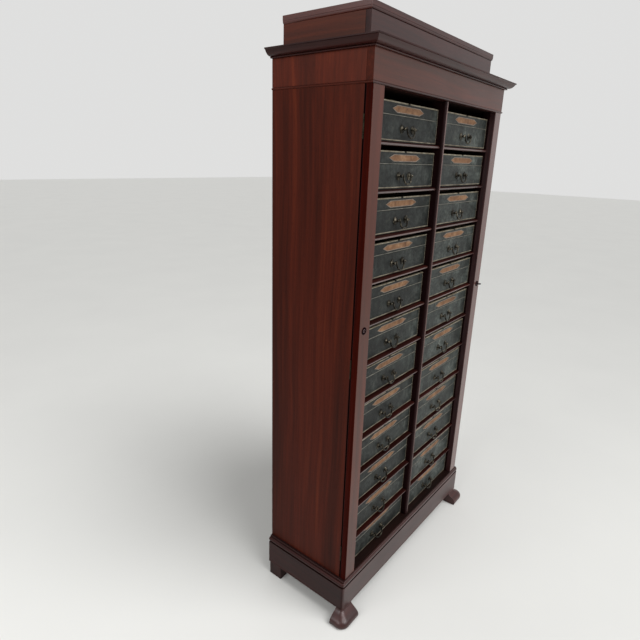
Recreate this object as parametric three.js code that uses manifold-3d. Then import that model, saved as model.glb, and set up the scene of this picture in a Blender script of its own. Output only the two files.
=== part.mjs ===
// A floor-standing carton cabinet in mahogany. Two columns of twelve pull-out cartons stand on thin
// shelves behind two hinged locking stiles, between a plinth on ogee feet and a frieze with a cornice
// and a stepped attic. Each carton is an open box with a thick front and a hanging swan-neck bail.
// Millimetres, +Z up, the front looks towards -Y, and the origin is the bottom centre of the whole.

import * as THREE from "three";
import { mergeVertices } from "three/addons/utils/BufferGeometryUtils.js";
import Module from "manifold-3d";

const wasm = await Module();
wasm.setup();

// Carcass
const bodyWidth = 920;
const bodyDepth = 359;
const sideThickness = 20;
const backThickness = 10;
const backInset = 2;
const postDepth = 28;
const seatGap = 0.3;
const cutOverrun = 5;

// Heights, from the floor up
const footHeight = 58.5;
const plinthHeight = 98.5;
const mouldingHeight = 24;
const firstRowHeight = 122.8;
const rowPitch = 135.7;
const topRowHeight = 136.7;
const astragalHeight = 6;
const friezeHeight = 78.5;
const corniceHeight = 24.5;
const atticHeight = 74.5;
const capHeight = 21.5;

// Rows and columns of cartons
const rowCount = 12;
const shelfThickness = 10.5;
const shelfRecess = 18;
const shelfNoseRadius = 5;
const dividerThickness = 23;
const dividerRecess = 10;

// Plinth and entablature
const plinthSideReach = 16.5;
const plinthFrontReach = 7;
const plinthWall = 22;
const plinthLipReach = 2.5;
const plinthLipHeight = 5;
const plinthCornerRadius = 11;
const mouldingCornerRadius = 2;
const floorThickness = 18;
const rearFootWidth = 36;
const rearFootDepth = 61;
const rearFootInset = 3;
const astragalReach = 3;
const corniceReach = 33;
const ceilingThickness = 14;
const atticInset = 47.5;
const atticWall = 18;
const capReach = 4;
const ceilingRim = 10;

// Front feet
const footWidth = 60;
const footDepth = 28;
const footInset = 3.5;
const footToeReach = 35;
const footNeckRadius = 6;
const footToeRadius = 32;

// Locking stiles
const stileWidth = 58.5;
const stileThickness = 22;
const stileCornerRadius = 7;
const stileGap = 0.6;
const barrelRadius = 2.5;
const barrelLength = 62;
const barrelGap = 0.5;
const barrelHeightShares = [0.065, 0.5, 0.935];
const lockHeight = 934;
const lockFromEdge = 28;
const keyClearance = 0.4;
const lockCaseRadius = 9.5;
const lockPlateThickness = 8;

// Key
const keyShankRadius = 2.8;
const keyShankReach = 6;
const keyBowLength = 15;
const keyBowWidth = 21;
const keyBowThickness = 3.2;
const keyBowRim = 4;
const keyBitReach = 5;
const keyBitLength = 6;
const keyBitThickness = 2.4;
const keyBackGap = 3;

// Cartons
const leftRecess = 33;
const rightRecess = 29;
const cartonSideGap = 2;
const cartonHeadroom = 1.3;
const cartonRearGap = 2;
const cartonFrontThickness = 9;
const cartonWall = 4;
const cartonBodyInset = 1.5;
const cartonBodyDrop = 4;
const notchWidth = 13;
const notchDepth = 3.5;

// Bails and the posts that carry them
const bailHeight = 38;
const bailHalfSpan = 33;
const bailForward = 6;
const bailDrop = 24;
const bailWireRadius = 2.4;
const pivotReach = 10;
const postRadius = 5;
const postTip = 5;
const socketClearance = 0.6;
const socketPastCentre = 2.4;

// Round stretches
const quarterSteps = 4;
const postSides = 8;
const wireSides = 6;
const bailSteps = 20;
const circleSides = 16;

// Places that follow from the sizes above
const halfWidth = bodyWidth / 2;
const openingHeight = firstRowHeight + (rowCount - 2) * rowPitch + topRowHeight;
const plinthTop = footHeight + plinthHeight + mouldingHeight;
const openingTop = plinthTop + openingHeight;
const corniceBottom = openingTop + astragalHeight + friezeHeight;
const corniceTop = corniceBottom + corniceHeight;
const atticTop = corniceTop + atticHeight;
const totalHeight = atticTop + capHeight;
const innerHalfWidth = halfWidth - sideThickness;
const openingHalfWidth = halfWidth - stileWidth;
const frameFront = stileThickness + stileGap;
const backFront = bodyDepth - backInset - backThickness;
const columnWidth = openingHalfWidth - dividerThickness / 2;
const columnCentre = (openingHalfWidth + dividerThickness / 2) / 2;
const cartonWidth = columnWidth - 2 * cartonSideGap;
const leastRow = Math.min(firstRowHeight, rowPitch, topRowHeight + shelfThickness);
const cartonHeight = leastRow - shelfThickness - cartonHeadroom;
const cartonDepth = backFront - Math.max(leftRecess, rightRecess) - cartonRearGap;
const footFront = plinthFrontReach - footInset;
const frontReach = Math.max(footFront + footToeReach, corniceReach);
const centreY = (bodyDepth - frontReach) / 2;
const lockX = halfWidth - lockFromEdge;
const lockZ = plinthTop + lockHeight;
const keyholeRadius = keyShankRadius + keyClearance;

// Materials, one for each kind of finish
const mahogany = { color: 0x5a2a20, roughness: 0.35, metalness: 0 };
const darkMahogany = { color: 0x3a1b18, roughness: 0.4, metalness: 0 };
const innerWood = { color: 0x2c1513, roughness: 0.6, metalness: 0 };
const leather = { color: 0x2c302e, roughness: 0.6, metalness: 0 };
const brass = { color: 0x6f6250, roughness: 0.4, metalness: 1 };
const iron = { color: 0x4a4540, roughness: 0.45, metalness: 1 };

// Turns a closed geometry into a solid, by its corners alone.
function solidOf(geometry) {
  const bare = geometry.clone();
  bare.deleteAttribute("normal");
  bare.deleteAttribute("uv");
  const merged = mergeVertices(bare, 1e-4);
  return new wasm.Manifold(
    new wasm.Mesh({
      numProp: 3,
      vertProperties: merged.attributes.position.array,
      triVerts: new Uint32Array(merged.index.array),
    }),
  );
}

// Turns a solid back into a geometry.
function geometryOf(solid) {
  const mesh = solid.getMesh();
  const geometry = new THREE.BufferGeometry();
  geometry.setAttribute("position", new THREE.BufferAttribute(mesh.vertProperties, 3));
  geometry.setIndex(new THREE.BufferAttribute(mesh.triVerts, 1));
  geometry.computeVertexNormals();
  return geometry;
}

// Joins geometries into one.
function join(first, ...others) {
  return geometryOf(others.reduce((all, next) => all.add(solidOf(next)), solidOf(first)));
}

// Cuts the later geometries out of the first.
function cut(first, ...tools) {
  return geometryOf(tools.reduce((all, next) => all.subtract(solidOf(next)), solidOf(first)));
}

// A cylinder along Y, from y0 to y1 round the line at x, z.
function cylinderAlongY(radius, x, z, y0, y1, sides) {
  const cylinder = new THREE.CylinderGeometry(radius, radius, y1 - y0, sides);
  return cylinder.translate(0, (y0 + y1) / 2, 0).translate(x, 0, z);
}

// A cylinder along Z, from z0 to z1 round the line at x, y.
function cylinderAlongZ(radius, x, y, z0, z1, sides) {
  const cylinder = new THREE.CylinderGeometry(radius, radius, z1 - z0, sides);
  return cylinder.rotateX(Math.PI / 2).translate(x, y, (z0 + z1) / 2);
}

// An outline of [y, z] points, drawn out along X from x0 to x1.
function barAlongX(outline, x0, x1) {
  const shape = new THREE.Shape(outline.map(([y, z]) => new THREE.Vector2(y, z)));
  const bar = new THREE.ExtrudeGeometry(shape, { depth: x1 - x0, bevelEnabled: false });
  const turn = new THREE.Matrix4().makeBasis(
    new THREE.Vector3(0, 1, 0),
    new THREE.Vector3(0, 0, 1),
    new THREE.Vector3(1, 0, 0),
  );
  return bar.applyMatrix4(turn).translate(x0, 0, 0);
}

// Rings of equal count, one above the other, closed into one skin. Each ring runs anticlockwise
// when it is seen from above, and holds [x, y, z] points.
function skinOfRings(rings) {
  const count = rings[0].length;
  const positions = rings.flat(2);
  const faces = [];
  for (let level = 0; level + 1 < rings.length; level += 1) {
    for (let i = 0; i < count; i += 1) {
      const here = level * count + i;
      const next = level * count + ((i + 1) % count);
      faces.push(here, next, next + count);
      faces.push(here, next + count, here + count);
    }
  }
  const top = (rings.length - 1) * count;
  for (let i = 1; i + 1 < count; i += 1) {
    faces.push(0, i + 1, i);
    faces.push(top, top + i, top + i + 1);
  }
  const geometry = new THREE.BufferGeometry();
  geometry.setAttribute("position", new THREE.Float32BufferAttribute(positions, 3));
  geometry.setIndex(faces);
  return geometry;
}

// A box between two corners.
function boxBetween([x0, y0, z0], [x1, y1, z1]) {
  return skinOfRings(
    [z0, z1].map((z) => [
      [x0, y0, z],
      [x1, y0, z],
      [x1, y1, z],
      [x0, y1, z],
    ]),
  );
}

// A block with mitred mouldings on its front and sides and a flat back. Each level says how far
// the sides and the front stand out from the body's faces at one height, and how round the two
// front corners are, unless they are sharp.
function mouldedBlock(levels) {
  return skinOfRings(
    levels.map(({ z, side, front, round }) => {
      const x = halfWidth + side;
      const bend = quarterTurn(-1, 0).map(([across, along]) => [
        x + round * (across - 1),
        round * (along + 1) - front,
        z,
      ]);
      const right = round ? bend : [[x, -front, z]];
      const left = right.map(([cornerX, cornerY]) => [-cornerX, cornerY, z]).reverse();
      return [...left, ...right, [x, bodyDepth, z], [-x, bodyDepth, z]];
    }),
  );
}

// The points of a quarter of a circle, from one angle in quarter turns to the next.
function quarterTurn(fromQuarter, toQuarter) {
  const points = [];
  for (let i = 0; i <= quarterSteps; i += 1) {
    const angle = ((fromQuarter + ((toQuarter - fromQuarter) * i) / quarterSteps) * Math.PI) / 2;
    points.push([Math.cos(angle), Math.sin(angle)]);
  }
  return points;
}

// Plinth: a board frame with an ovolo on top, the cabinet's floor and two block feet at the back.
function makePlinth() {
  const faceTop = plinthTop - mouldingHeight;
  const grown = (by) => ({
    side: plinthSideReach + by,
    front: plinthFrontReach + by,
    round: plinthCornerRadius + by,
  });
  const ovolo = quarterTurn(0, 1).map(([out, up]) => ({
    z: faceTop + mouldingHeight * up,
    side: (plinthSideReach + seatGap) * out,
    front: (plinthFrontReach + seatGap) * out,
    round: mouldingCornerRadius + (plinthCornerRadius - mouldingCornerRadius) * out,
  }));
  const block = mouldedBlock([
    { z: footHeight, ...grown(plinthLipReach) },
    { z: footHeight + plinthLipHeight, ...grown(plinthLipReach) },
    { z: footHeight + plinthLipHeight + plinthLipReach, ...grown(0) },
    { z: faceTop - plinthLipReach, ...grown(0) },
    { z: faceTop - plinthLipReach, ...grown(-plinthLipReach) },
    { z: faceTop, ...grown(-plinthLipReach) },
    ...ovolo,
  ]);
  const hollowX = halfWidth + plinthSideReach - plinthWall;
  const hollow = boxBetween(
    [-hollowX, plinthWall - plinthFrontReach, footHeight - cutOverrun],
    [hollowX, bodyDepth - plinthWall, plinthTop - floorThickness],
  );
  const outerX = halfWidth + plinthSideReach - rearFootInset;
  const rearFeet = [-1, 1].map((side) => {
    const xs = [side * outerX, side * (outerX - rearFootWidth)].sort((a, b) => a - b);
    return boxBetween(
      [xs[0], bodyDepth - rearFootDepth, 0],
      [xs[1], bodyDepth - rearFootInset, footHeight + cutOverrun],
    );
  });
  return join(cut(block, hollow), ...rearFeet);
}

// How far the toe stands out, how high, and how round the corner is, up the foot's outline.
const footShares = [
  [0.78, 0, 1],
  [0.95, 0.08, 1],
  [1, 0.2, 1],
  [0.97, 0.34, 0.95],
  [0.84, 0.47, 0.8],
  [0.58, 0.58, 0.55],
  [0.28, 0.68, 0.25],
  [0.07, 0.78, 0.08],
  [-0.05, 0.88, 0],
  [0, 1, 0],
];

// Front foot for the side where x is positive: a concave neck under the plinth, then a round toe
// that swells to the front and to the outside.
function makeFrontFoot() {
  const outer = halfWidth + plinthSideReach - footInset;
  const inner = outer - footWidth;
  const rings = footShares.map(([reachShare, heightShare, roundShare]) => {
    const reach = footToeReach * reachShare;
    const z = (footHeight - seatGap) * heightShare;
    const radius = footNeckRadius + (footToeRadius - footNeckRadius) * roundShare;
    const cornerX = outer + reach - radius;
    const cornerY = -(footFront + reach) + radius;
    const corner = quarterTurn(-1, 0).map(([across, along]) => [
      cornerX + radius * across,
      cornerY + radius * along,
      z,
    ]);
    return [
      [inner, -(footFront + reach), z],
      ...corner,
      [outer + reach, footDepth - footFront, z],
      [inner, footDepth - footFront, z],
    ];
  });
  return skinOfRings(rings);
}

// The hinge barrels of a locking stile, round the corner where it turns.
function barrels(radius, extra) {
  return barrelHeightShares.map((share) => {
    const middle = plinthTop + openingHeight * share;
    const half = barrelLength / 2 + extra;
    const y = stileThickness + stileGap / 2;
    return cylinderAlongZ(radius, halfWidth, y, middle - half, middle + half, postSides);
  });
}

// Side panel for the side where x is positive, with the corner post behind the locking stile.
function makeSide() {
  const bottom = plinthTop + seatGap;
  const top = openingTop - seatGap;
  const panel = boxBetween([innerHalfWidth, frameFront, bottom], [halfWidth, bodyDepth, top]);
  const post = boxBetween(
    [openingHalfWidth, frameFront, bottom],
    [innerHalfWidth + cutOverrun, frameFront + postDepth, top],
  );
  return cut(join(panel, post), ...barrels(barrelRadius + barrelGap, barrelGap));
}

// Back panel, let in between the sides.
function makeBack() {
  return boxBetween(
    [-(innerHalfWidth - seatGap), backFront, plinthTop + seatGap],
    [innerHalfWidth - seatGap, bodyDepth - backInset, openingTop - seatGap],
  );
}

// The height of the top face of the shelf, or of the floor, under a row that is counted from below.
function rowFloor(row) {
  return row === 0 ? plinthTop : plinthTop + firstRowHeight + (row - 1) * rowPitch;
}

// Shelf rack: the divider between the columns, and the shelves housed in it, with rounded noses
// and with their front corners notched round the corner posts.
function makeShelfRack() {
  const rear = backFront - seatGap;
  const postBack = frameFront + postDepth + seatGap;
  const nose = shelfNoseRadius;
  const noseX = openingHalfWidth - seatGap;
  const boardX = innerHalfWidth - seatGap;
  const parts = [
    boxBetween(
      [-dividerThickness / 2, dividerRecess, plinthTop + seatGap],
      [dividerThickness / 2, rear, openingTop - seatGap],
    ),
  ];
  for (let row = 1; row < rowCount; row += 1) {
    const top = rowFloor(row);
    const bottom = top - shelfThickness;
    const upper = quarterTurn(2, 1).map(([y, z]) => [
      shelfRecess + nose + nose * y,
      top - nose + nose * z,
    ]);
    const lower = quarterTurn(3, 2).map(([y, z]) => [
      shelfRecess + nose + nose * y,
      bottom + nose + nose * z,
    ]);
    parts.push(barAlongX([...lower, ...upper, [rear, top], [rear, bottom]], -boardX, boardX));
  }
  const notches = [-1, 1].map((side) => {
    const xs = [side * noseX, side * (boardX + cutOverrun)].sort((a, b) => a - b);
    return boxBetween([xs[0], -cutOverrun, plinthTop], [xs[1], postBack, openingTop]);
  });
  return cut(join(...parts), ...notches);
}

// The cornice's outline, as shares of its reach and its height: a bead, a round belly that leans
// outwards, and a square fillet on top.
const corniceShares = [
  [0.1, 0],
  [0.25, 0.03],
  [0.27, 0.09],
  [0.22, 0.145],
  [0.16, 0.165],
  [0.3, 0.19],
  [0.42, 0.21],
  [0.52, 0.26],
  [0.62, 0.34],
  [0.72, 0.46],
  [0.8, 0.58],
  [0.86, 0.7],
  [0.9, 0.8],
  [0.94, 0.84],
  [1, 0.87],
  [1, 1],
];

// The astragal's outline, as shares of its reach and its height.
const astragalShares = [
  [0.35, 0],
  [0.88, 0.2],
  [1, 0.5],
  [0.88, 0.8],
  [0.35, 1],
];

// Entablature: astragal, plain frieze and cornice, with a ceiling board and a hollow above it.
function makeEntablature() {
  const levelOf = (reach, z) => ({ z, side: reach, front: reach });
  const block = mouldedBlock([
    ...astragalShares.map(([out, up]) => levelOf(astragalReach * out, openingTop + astragalHeight * up)),
    levelOf(0, openingTop + astragalHeight),
    levelOf(0, corniceBottom),
    ...corniceShares.map(([out, up]) => levelOf(corniceReach * out, corniceBottom + corniceHeight * up)),
  ]);
  const rim = atticInset + atticWall + ceilingRim;
  const hollow = boxBetween(
    [-(halfWidth - rim), rim, openingTop + ceilingThickness],
    [halfWidth - rim, bodyDepth - atticWall - ceilingRim, corniceTop + cutOverrun],
  );
  return cut(block, hollow);
}

// The cap's outline over the attic, as shares of its reach and its height.
const capShares = [
  [0, 0],
  [0.35, 0.02],
  [0.7, 0.12],
  [0.8, 0.3],
  [0.8, 0.36],
  [1, 0.38],
  [1, 0.96],
  [0.85, 1],
];

// Attic: the stepped box on top, open below, with its cap moulding.
function makeAttic() {
  const levelOf = (reach, z) => ({ z, side: reach - atticInset, front: reach - atticInset });
  const block = mouldedBlock([
    levelOf(0, corniceTop + seatGap),
    ...capShares.map(([out, up]) => levelOf(capReach * out, atticTop + capHeight * up)),
  ]);
  const hollowX = halfWidth - atticInset - atticWall;
  const hollow = boxBetween(
    [-hollowX, atticInset + atticWall, corniceTop - cutOverrun],
    [hollowX, bodyDepth - atticWall, totalHeight - atticWall],
  );
  return cut(block, hollow);
}

// Locking stile for the side where x is positive, with its outer arris rounded, its barrels, its
// keyhole and the lock's room.
function makeStile() {
  const arris = quarterTurn(-1, 0).map(([across, along]) => [
    halfWidth + stileCornerRadius * (across - 1),
    stileCornerRadius * (along + 1),
  ]);
  const plan = [
    [openingHalfWidth, 0],
    ...arris,
    [halfWidth, stileThickness],
    [openingHalfWidth, stileThickness],
  ];
  const ends = [plinthTop + stileGap, openingTop - stileGap];
  const slab = skinOfRings(ends.map((z) => plan.map(([x, y]) => [x, y, z])));
  const keyhole = cylinderAlongY(keyholeRadius, lockX, lockZ, -cutOverrun, stileThickness, circleSides);
  const lockRoom = cylinderAlongY(
    lockCaseRadius,
    lockX,
    lockZ,
    lockPlateThickness,
    stileThickness + cutOverrun,
    circleSides,
  );
  return cut(join(slab, ...barrels(barrelRadius, 0)), keyhole, lockRoom);
}

// Key: shank along Y, flat oval bow outside, bit inside the lock. Its origin is on the shank's
// line, at the front face of the stile.
function makeKey() {
  const oval = (along, across, path) =>
    path.absellipse(0, 0, across / 2, along / 2, 0, 2 * Math.PI, false, 0);
  const outline = oval(keyBowLength, keyBowWidth, new THREE.Shape());
  const inside = oval(keyBowLength - 2 * keyBowRim, keyBowWidth - 2 * keyBowRim, new THREE.Path());
  outline.holes.push(inside);
  const bow = new THREE.ExtrudeGeometry(outline, {
    depth: keyBowThickness,
    bevelEnabled: false,
    curveSegments: circleSides / 2,
  });
  bow.translate(0, -(keyShankReach + keyBowLength / 2 - keyBowRim / 2), -keyBowThickness / 2);
  const tip = stileThickness - keyBackGap;
  const shank = cylinderAlongY(keyShankRadius, 0, 0, -keyShankReach, tip, postSides);
  const bit = boxBetween(
    [-keyBitThickness / 2, tip - keyBitLength, -(keyShankRadius + keyBitReach)],
    [keyBitThickness / 2, tip, 0],
  );
  return join(shank, bow, bit);
}

// Carton: an open box behind a thick front with a notch in its top edge, and two drilled posts.
// Its origin is the bottom centre of the front's face.
function makeCarton() {
  const half = cartonWidth / 2;
  const front = boxBetween([-half, 0, 0], [half, cartonFrontThickness, cartonHeight]);
  const bodyX = half - cartonBodyInset;
  const bodyTop = cartonHeight - cartonBodyDrop;
  const box = boxBetween([-bodyX, cartonFrontThickness / 2, 0], [bodyX, cartonDepth, bodyTop]);
  const inside = boxBetween(
    [-(bodyX - cartonWall), cartonFrontThickness, cartonWall],
    [bodyX - cartonWall, cartonDepth - cartonWall, cartonHeight + cutOverrun],
  );
  const notch = boxBetween(
    [-notchWidth / 2, -cutOverrun, cartonHeight - notchDepth],
    [notchWidth / 2, cartonFrontThickness + cutOverrun, cartonHeight + cutOverrun],
  );
  const posts = [-bailHalfSpan, bailHalfSpan].map((x) =>
    cylinderAlongY(postRadius, x, bailHeight, -(pivotReach + postTip), cartonWall, postSides),
  );
  const socketRadius = bailWireRadius + socketClearance;
  const socketEnd = bailHalfSpan + socketPastCentre;
  const socketStart = bailHalfSpan - postRadius - cutOverrun;
  const sockets = [-1, 1].map((side) => {
    const socket = new THREE.CylinderGeometry(
      socketRadius,
      socketRadius,
      socketEnd - socketStart,
      postSides,
    );
    socket.rotateZ(Math.PI / 2);
    return socket.translate((side * (socketStart + socketEnd)) / 2, -pivotReach, bailHeight);
  });
  return cut(join(front, box, ...posts), inside, notch, ...sockets);
}

// Half of the bail's line, from its pin to its middle: shares of the half span, of how far its
// middle stands forward, and of its drop.
const bailShares = [
  [1.04, 0, 0],
  [0.83, 0, 0],
  [0.76, 0.04, 0.11],
  [0.7, 0.1, 0.22],
  [0.66, 0.2, 0.14],
  [0.68, 0.45, -0.2],
  [0.61, 0.72, -0.58],
  [0.36, 0.94, -0.9],
  [0, 1, -1],
];

// Bail: a swan-neck wire whose ends turn in the posts. Its origin is the middle of its axis.
function makeBail() {
  const right = bailShares.map(
    ([across, forward, up]) =>
      new THREE.Vector3(bailHalfSpan * across, -bailForward * forward, bailDrop * up),
  );
  const left = right.slice(0, -1).map((p) => new THREE.Vector3(-p.x, p.y, p.z));
  const line = new THREE.CatmullRomCurve3([...right, ...left.reverse()], false, "centripetal");
  const section = new THREE.Shape();
  for (let i = 0; i < wireSides; i += 1) {
    const angle = (2 * Math.PI * i) / wireSides;
    const point = [bailWireRadius * Math.cos(angle), bailWireRadius * Math.sin(angle)];
    if (i === 0) section.moveTo(...point);
    else section.lineTo(...point);
  }
  return new THREE.ExtrudeGeometry(section, {
    steps: bailSteps,
    extrudePath: line,
    bevelEnabled: false,
  });
}

// A named mesh with its own material.
function part(name, geometry, finish) {
  const mesh = new THREE.Mesh(geometry, new THREE.MeshStandardMaterial(finish));
  mesh.name = name;
  return mesh;
}

// The same piece for the other side of the cabinet.
function mirrored(geometry) {
  const flipped = geometry.clone().scale(-1, 1, 1);
  const index = flipped.index.array;
  for (let i = 0; i < index.length; i += 3) {
    [index[i + 1], index[i + 2]] = [index[i + 2], index[i + 1]];
  }
  return flipped;
}

const cabinet = new THREE.Group();
cabinet.position.y = -centreY;

const side = makeSide();
const stile = makeStile();
const frontFoot = makeFrontFoot();
cabinet.add(
  part("plinth", makePlinth(), darkMahogany),
  part("foot_front_left", mirrored(frontFoot), darkMahogany),
  part("foot_front_right", frontFoot, darkMahogany),
  part("side_left", mirrored(side), mahogany),
  part("side_right", side, mahogany),
  part("back_panel", makeBack(), innerWood),
  part("shelf_rack", makeShelfRack(), innerWood),
  part("entablature", makeEntablature(), darkMahogany),
  part("attic", makeAttic(), mahogany),
  part("lock_stile_left", mirrored(stile), mahogany),
  part("lock_stile_right", stile, mahogany),
);

const key = part("lock_key", makeKey(), iron);
key.position.set(lockX, 0, lockZ);
cabinet.add(key);

const columns = [
  { name: "left", x: -columnCentre, recess: leftRecess },
  { name: "right", x: columnCentre, recess: rightRecess },
];
const cartonGeometry = makeCarton();
const bailGeometry = makeBail();
for (const column of columns) {
  for (let row = 0; row < rowCount; row += 1) {
    const label = column.name + "_" + String(rowCount - row).padStart(2, "0");
    const stand = new THREE.Group();
    stand.position.set(column.x, column.recess, rowFloor(row) + seatGap);
    const bail = part("bail_" + label, bailGeometry, brass);
    bail.position.set(0, -pivotReach, bailHeight);
    stand.add(part("carton_" + label, cartonGeometry, leather), bail);
    cabinet.add(stand);
  }
}

export default cabinet;
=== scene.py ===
# %% [markdown]
# # A mahogany carton cabinet with leather file boxes
#
# The cabinet stands on the floor and holds two columns of twelve pull-out boxes. Its frame is
# fixed: every piece here takes its place from the frame's own boxes, in metres, with the front
# towards -Y. This lesson builds the visible pieces one kind at a time: first the camera and the
# light, then the finishes, then the joinery, the boxes and the metalwork.

# %% Load the fixed frame
import math

import bmesh
import bpy
from mathutils import Matrix, Vector, noise


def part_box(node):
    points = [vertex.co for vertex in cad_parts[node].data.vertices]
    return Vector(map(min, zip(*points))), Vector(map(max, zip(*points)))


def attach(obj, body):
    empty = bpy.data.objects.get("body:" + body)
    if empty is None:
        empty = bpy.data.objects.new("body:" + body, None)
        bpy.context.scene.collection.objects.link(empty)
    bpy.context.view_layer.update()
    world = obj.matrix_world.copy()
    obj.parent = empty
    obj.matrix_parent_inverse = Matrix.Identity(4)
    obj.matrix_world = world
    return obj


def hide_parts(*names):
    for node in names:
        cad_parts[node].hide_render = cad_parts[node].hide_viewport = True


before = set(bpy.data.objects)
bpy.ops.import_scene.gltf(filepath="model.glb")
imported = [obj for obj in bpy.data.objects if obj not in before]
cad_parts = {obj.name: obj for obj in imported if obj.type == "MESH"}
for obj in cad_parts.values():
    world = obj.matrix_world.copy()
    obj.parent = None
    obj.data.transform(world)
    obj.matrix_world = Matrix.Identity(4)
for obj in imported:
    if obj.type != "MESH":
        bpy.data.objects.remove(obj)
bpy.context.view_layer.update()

# %% [markdown]
# The main levels and faces are read from the frame once and get plain names. A width that the
# frame's boxes don't give, such as a board's thickness, is a value of its own beside the piece that
# has it. Pieces that touch on the bench stand a hair apart here, so that no two faces coincide.

# %% Levels and faces
SIDE_FACE, BACK, PANEL_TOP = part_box("side_right")[1]
_, PANEL_FRONT, PLINTH_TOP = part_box("side_right")[0]
STILE_INNER, FACE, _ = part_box("lock_stile_right")[0]
PLINTH_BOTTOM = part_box("foot_front_right")[1].z
OPENING_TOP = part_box("entablature")[0].z
CORNICE_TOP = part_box("entablature")[1].z
ATTIC_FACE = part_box("attic")[0].y
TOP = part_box("attic")[1].z
BACK_LOW, BACK_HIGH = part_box("back_panel")
KEY_LOW, KEY_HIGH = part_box("lock_key")
ROWS = 12
FIT = 0.0003
HAIR = 0.0001
SIDES = ((-1, "left"), (1, "right"))


def mm(length):
    """A length in millimetres, rounded for a print."""
    return round(length * 1000, 1)


print("Body width", mm(2 * SIDE_FACE), "depth", mm(BACK - FACE), "height", mm(TOP), "mm")

# %% [markdown]
# ## Camera and studio
#
# The photograph was taken from eye height, to the left of the cabinet, with a wide lens that
# looks down a little. The camera's place and its three directions come from fitting the straight
# edges of the cabinet. The studio is one pale floor under a pale sky. A wide soft sun stands high
# in front, and two large lamps fill in the front and the left side, so that a colour shows about as
# it is written.

# %% Camera
EYE = Vector((-1.6342, -0.9428, 1.6079))
LOOKING = Vector((0.74537, 0.59129, -0.30788)).normalized()
RIGHTWARDS = Vector((0.62876, -0.77702, 0.02994)).normalized()
LENS_MM = 28.06
SENSOR_MM = 36.0


def link(thing):
    """Puts an object into the scene."""
    bpy.context.scene.collection.objects.link(thing)
    return thing


upwards = RIGHTWARDS.cross(LOOKING)
turn = Matrix((RIGHTWARDS, upwards, -LOOKING)).transposed()
camera_data = bpy.data.cameras.new("camera")
camera_data.lens = LENS_MM
camera_data.sensor_width = SENSOR_MM
camera = link(bpy.data.objects.new("camera", camera_data))
camera.matrix_world = Matrix.Translation(EYE) @ turn.to_4x4()
bpy.context.scene.camera = camera
bpy.context.scene.view_settings.view_transform = "Standard"


# %% Short ways to add nodes
def plug(tree, target, inputs):
    """Gives a node's inputs their values, or links them where the value is another's output."""
    for key, value in inputs.items():
        if isinstance(value, bpy.types.NodeSocket):
            tree.links.new(value, target.inputs[key])
        else:
            target.inputs[key].default_value = value


def node(tree, kind, inputs=None, **settings):
    """Adds a node with these settings and inputs."""
    made = tree.nodes.new(kind)
    for key, value in settings.items():
        setattr(made, key, value)
    plug(tree, made, inputs or {})
    return made


def maths(tree, operation, a, b=0.0, kind="ShaderNodeMath"):
    """One step of arithmetic, on numbers or on vectors."""
    return node(tree, kind, {0: a, 1: b}, operation=operation).outputs[0]


def remap(tree, value, low, high, start=0.0, end=1.0):
    """A value from start to end, moved to lie from low to high."""
    ends = {"From Min": start, "From Max": end, "To Min": low, "To Max": high}
    return node(tree, "ShaderNodeMapRange", {"Value": value, **ends}).outputs[0]


def clouds(tree, place, scale, detail, roughness=0.5):
    """A soft noise."""
    inputs = {"Vector": place, "Scale": scale, "Detail": detail, "Roughness": roughness}
    return node(tree, "ShaderNodeTexNoise", inputs).outputs["Fac"]


def blend(tree, factor, a, b, kind="MIX"):
    """Two colours blended."""
    inputs = {"Factor": factor, "A": a, "B": b}
    made = node(tree, "ShaderNodeMix", inputs, data_type="RGBA", blend_type=kind)
    return made.outputs["Result"]


def bumps(tree, height, strength, distance):
    """A height turned into small bumps of the surface."""
    inputs = {"Height": height, "Strength": strength, "Distance": distance}
    return node(tree, "ShaderNodeBump", inputs).outputs[0]


def new_material(name):
    """A material with its tree, its shader and the object's own coordinates."""
    material = bpy.data.materials.new(name)
    material.use_nodes = True
    tree = material.node_tree
    place = node(tree, "ShaderNodeTexCoord").outputs["Object"]
    return material, tree, tree.nodes["Principled BSDF"], place


# %% Floor, sky and lamps
FLOOR_HALF = 30.0
FLOOR_COLOUR = (0.77, 0.77, 0.745, 1)
FLOOR_WORN_COLOUR = (0.72, 0.72, 0.70, 1)
FLOOR_ROUGHNESS = 0.7
SKY_COLOUR = (0.74, 0.74, 0.735, 1)
SKY_LIGHT = 0.42
SUN_STRENGTH = 1.8
SUN_WIDTH_DEGREES = 38
FRONT_WATTS = 45
SIDE_WATTS = 60


def studio_floor():
    """A large pale floor with faint clouds in its colour."""
    mesh = bpy.data.meshes.new("floor")
    corners = [(-1, -1), (1, -1), (1, 1), (-1, 1)]
    mesh.from_pydata([(FLOOR_HALF * x, FLOOR_HALF * y, 0) for x, y in corners], [], [(0, 1, 2, 3)])
    material, tree, shader, place = new_material("pale floor")
    tint = blend(tree, clouds(tree, place, scale=1.6, detail=4.0), FLOOR_WORN_COLOUR, FLOOR_COLOUR)
    plug(tree, shader, {"Base Color": tint, "Roughness": FLOOR_ROUGHNESS})
    mesh.materials.append(material)
    floor = link(bpy.data.objects.new("floor", mesh))


def studio_sky():
    """Soft light from all round. The camera and reflections see the sky at its own colour."""
    world = bpy.data.worlds.new("sky")
    world.use_nodes = True
    tree = world.node_tree
    tree.nodes.clear()
    path = node(tree, "ShaderNodeLightPath").outputs
    seen = maths(tree, "MAXIMUM", path["Is Camera Ray"], path["Is Glossy Ray"])
    seen = maths(tree, "MAXIMUM", seen, path["Is Transmission Ray"])
    strength = remap(tree, seen, SKY_LIGHT, 1.0)
    sky = node(tree, "ShaderNodeBackground", {"Color": SKY_COLOUR, "Strength": strength})
    node(tree, "ShaderNodeOutputWorld", {"Surface": sky.outputs[0]})
    bpy.context.scene.world = world


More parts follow.
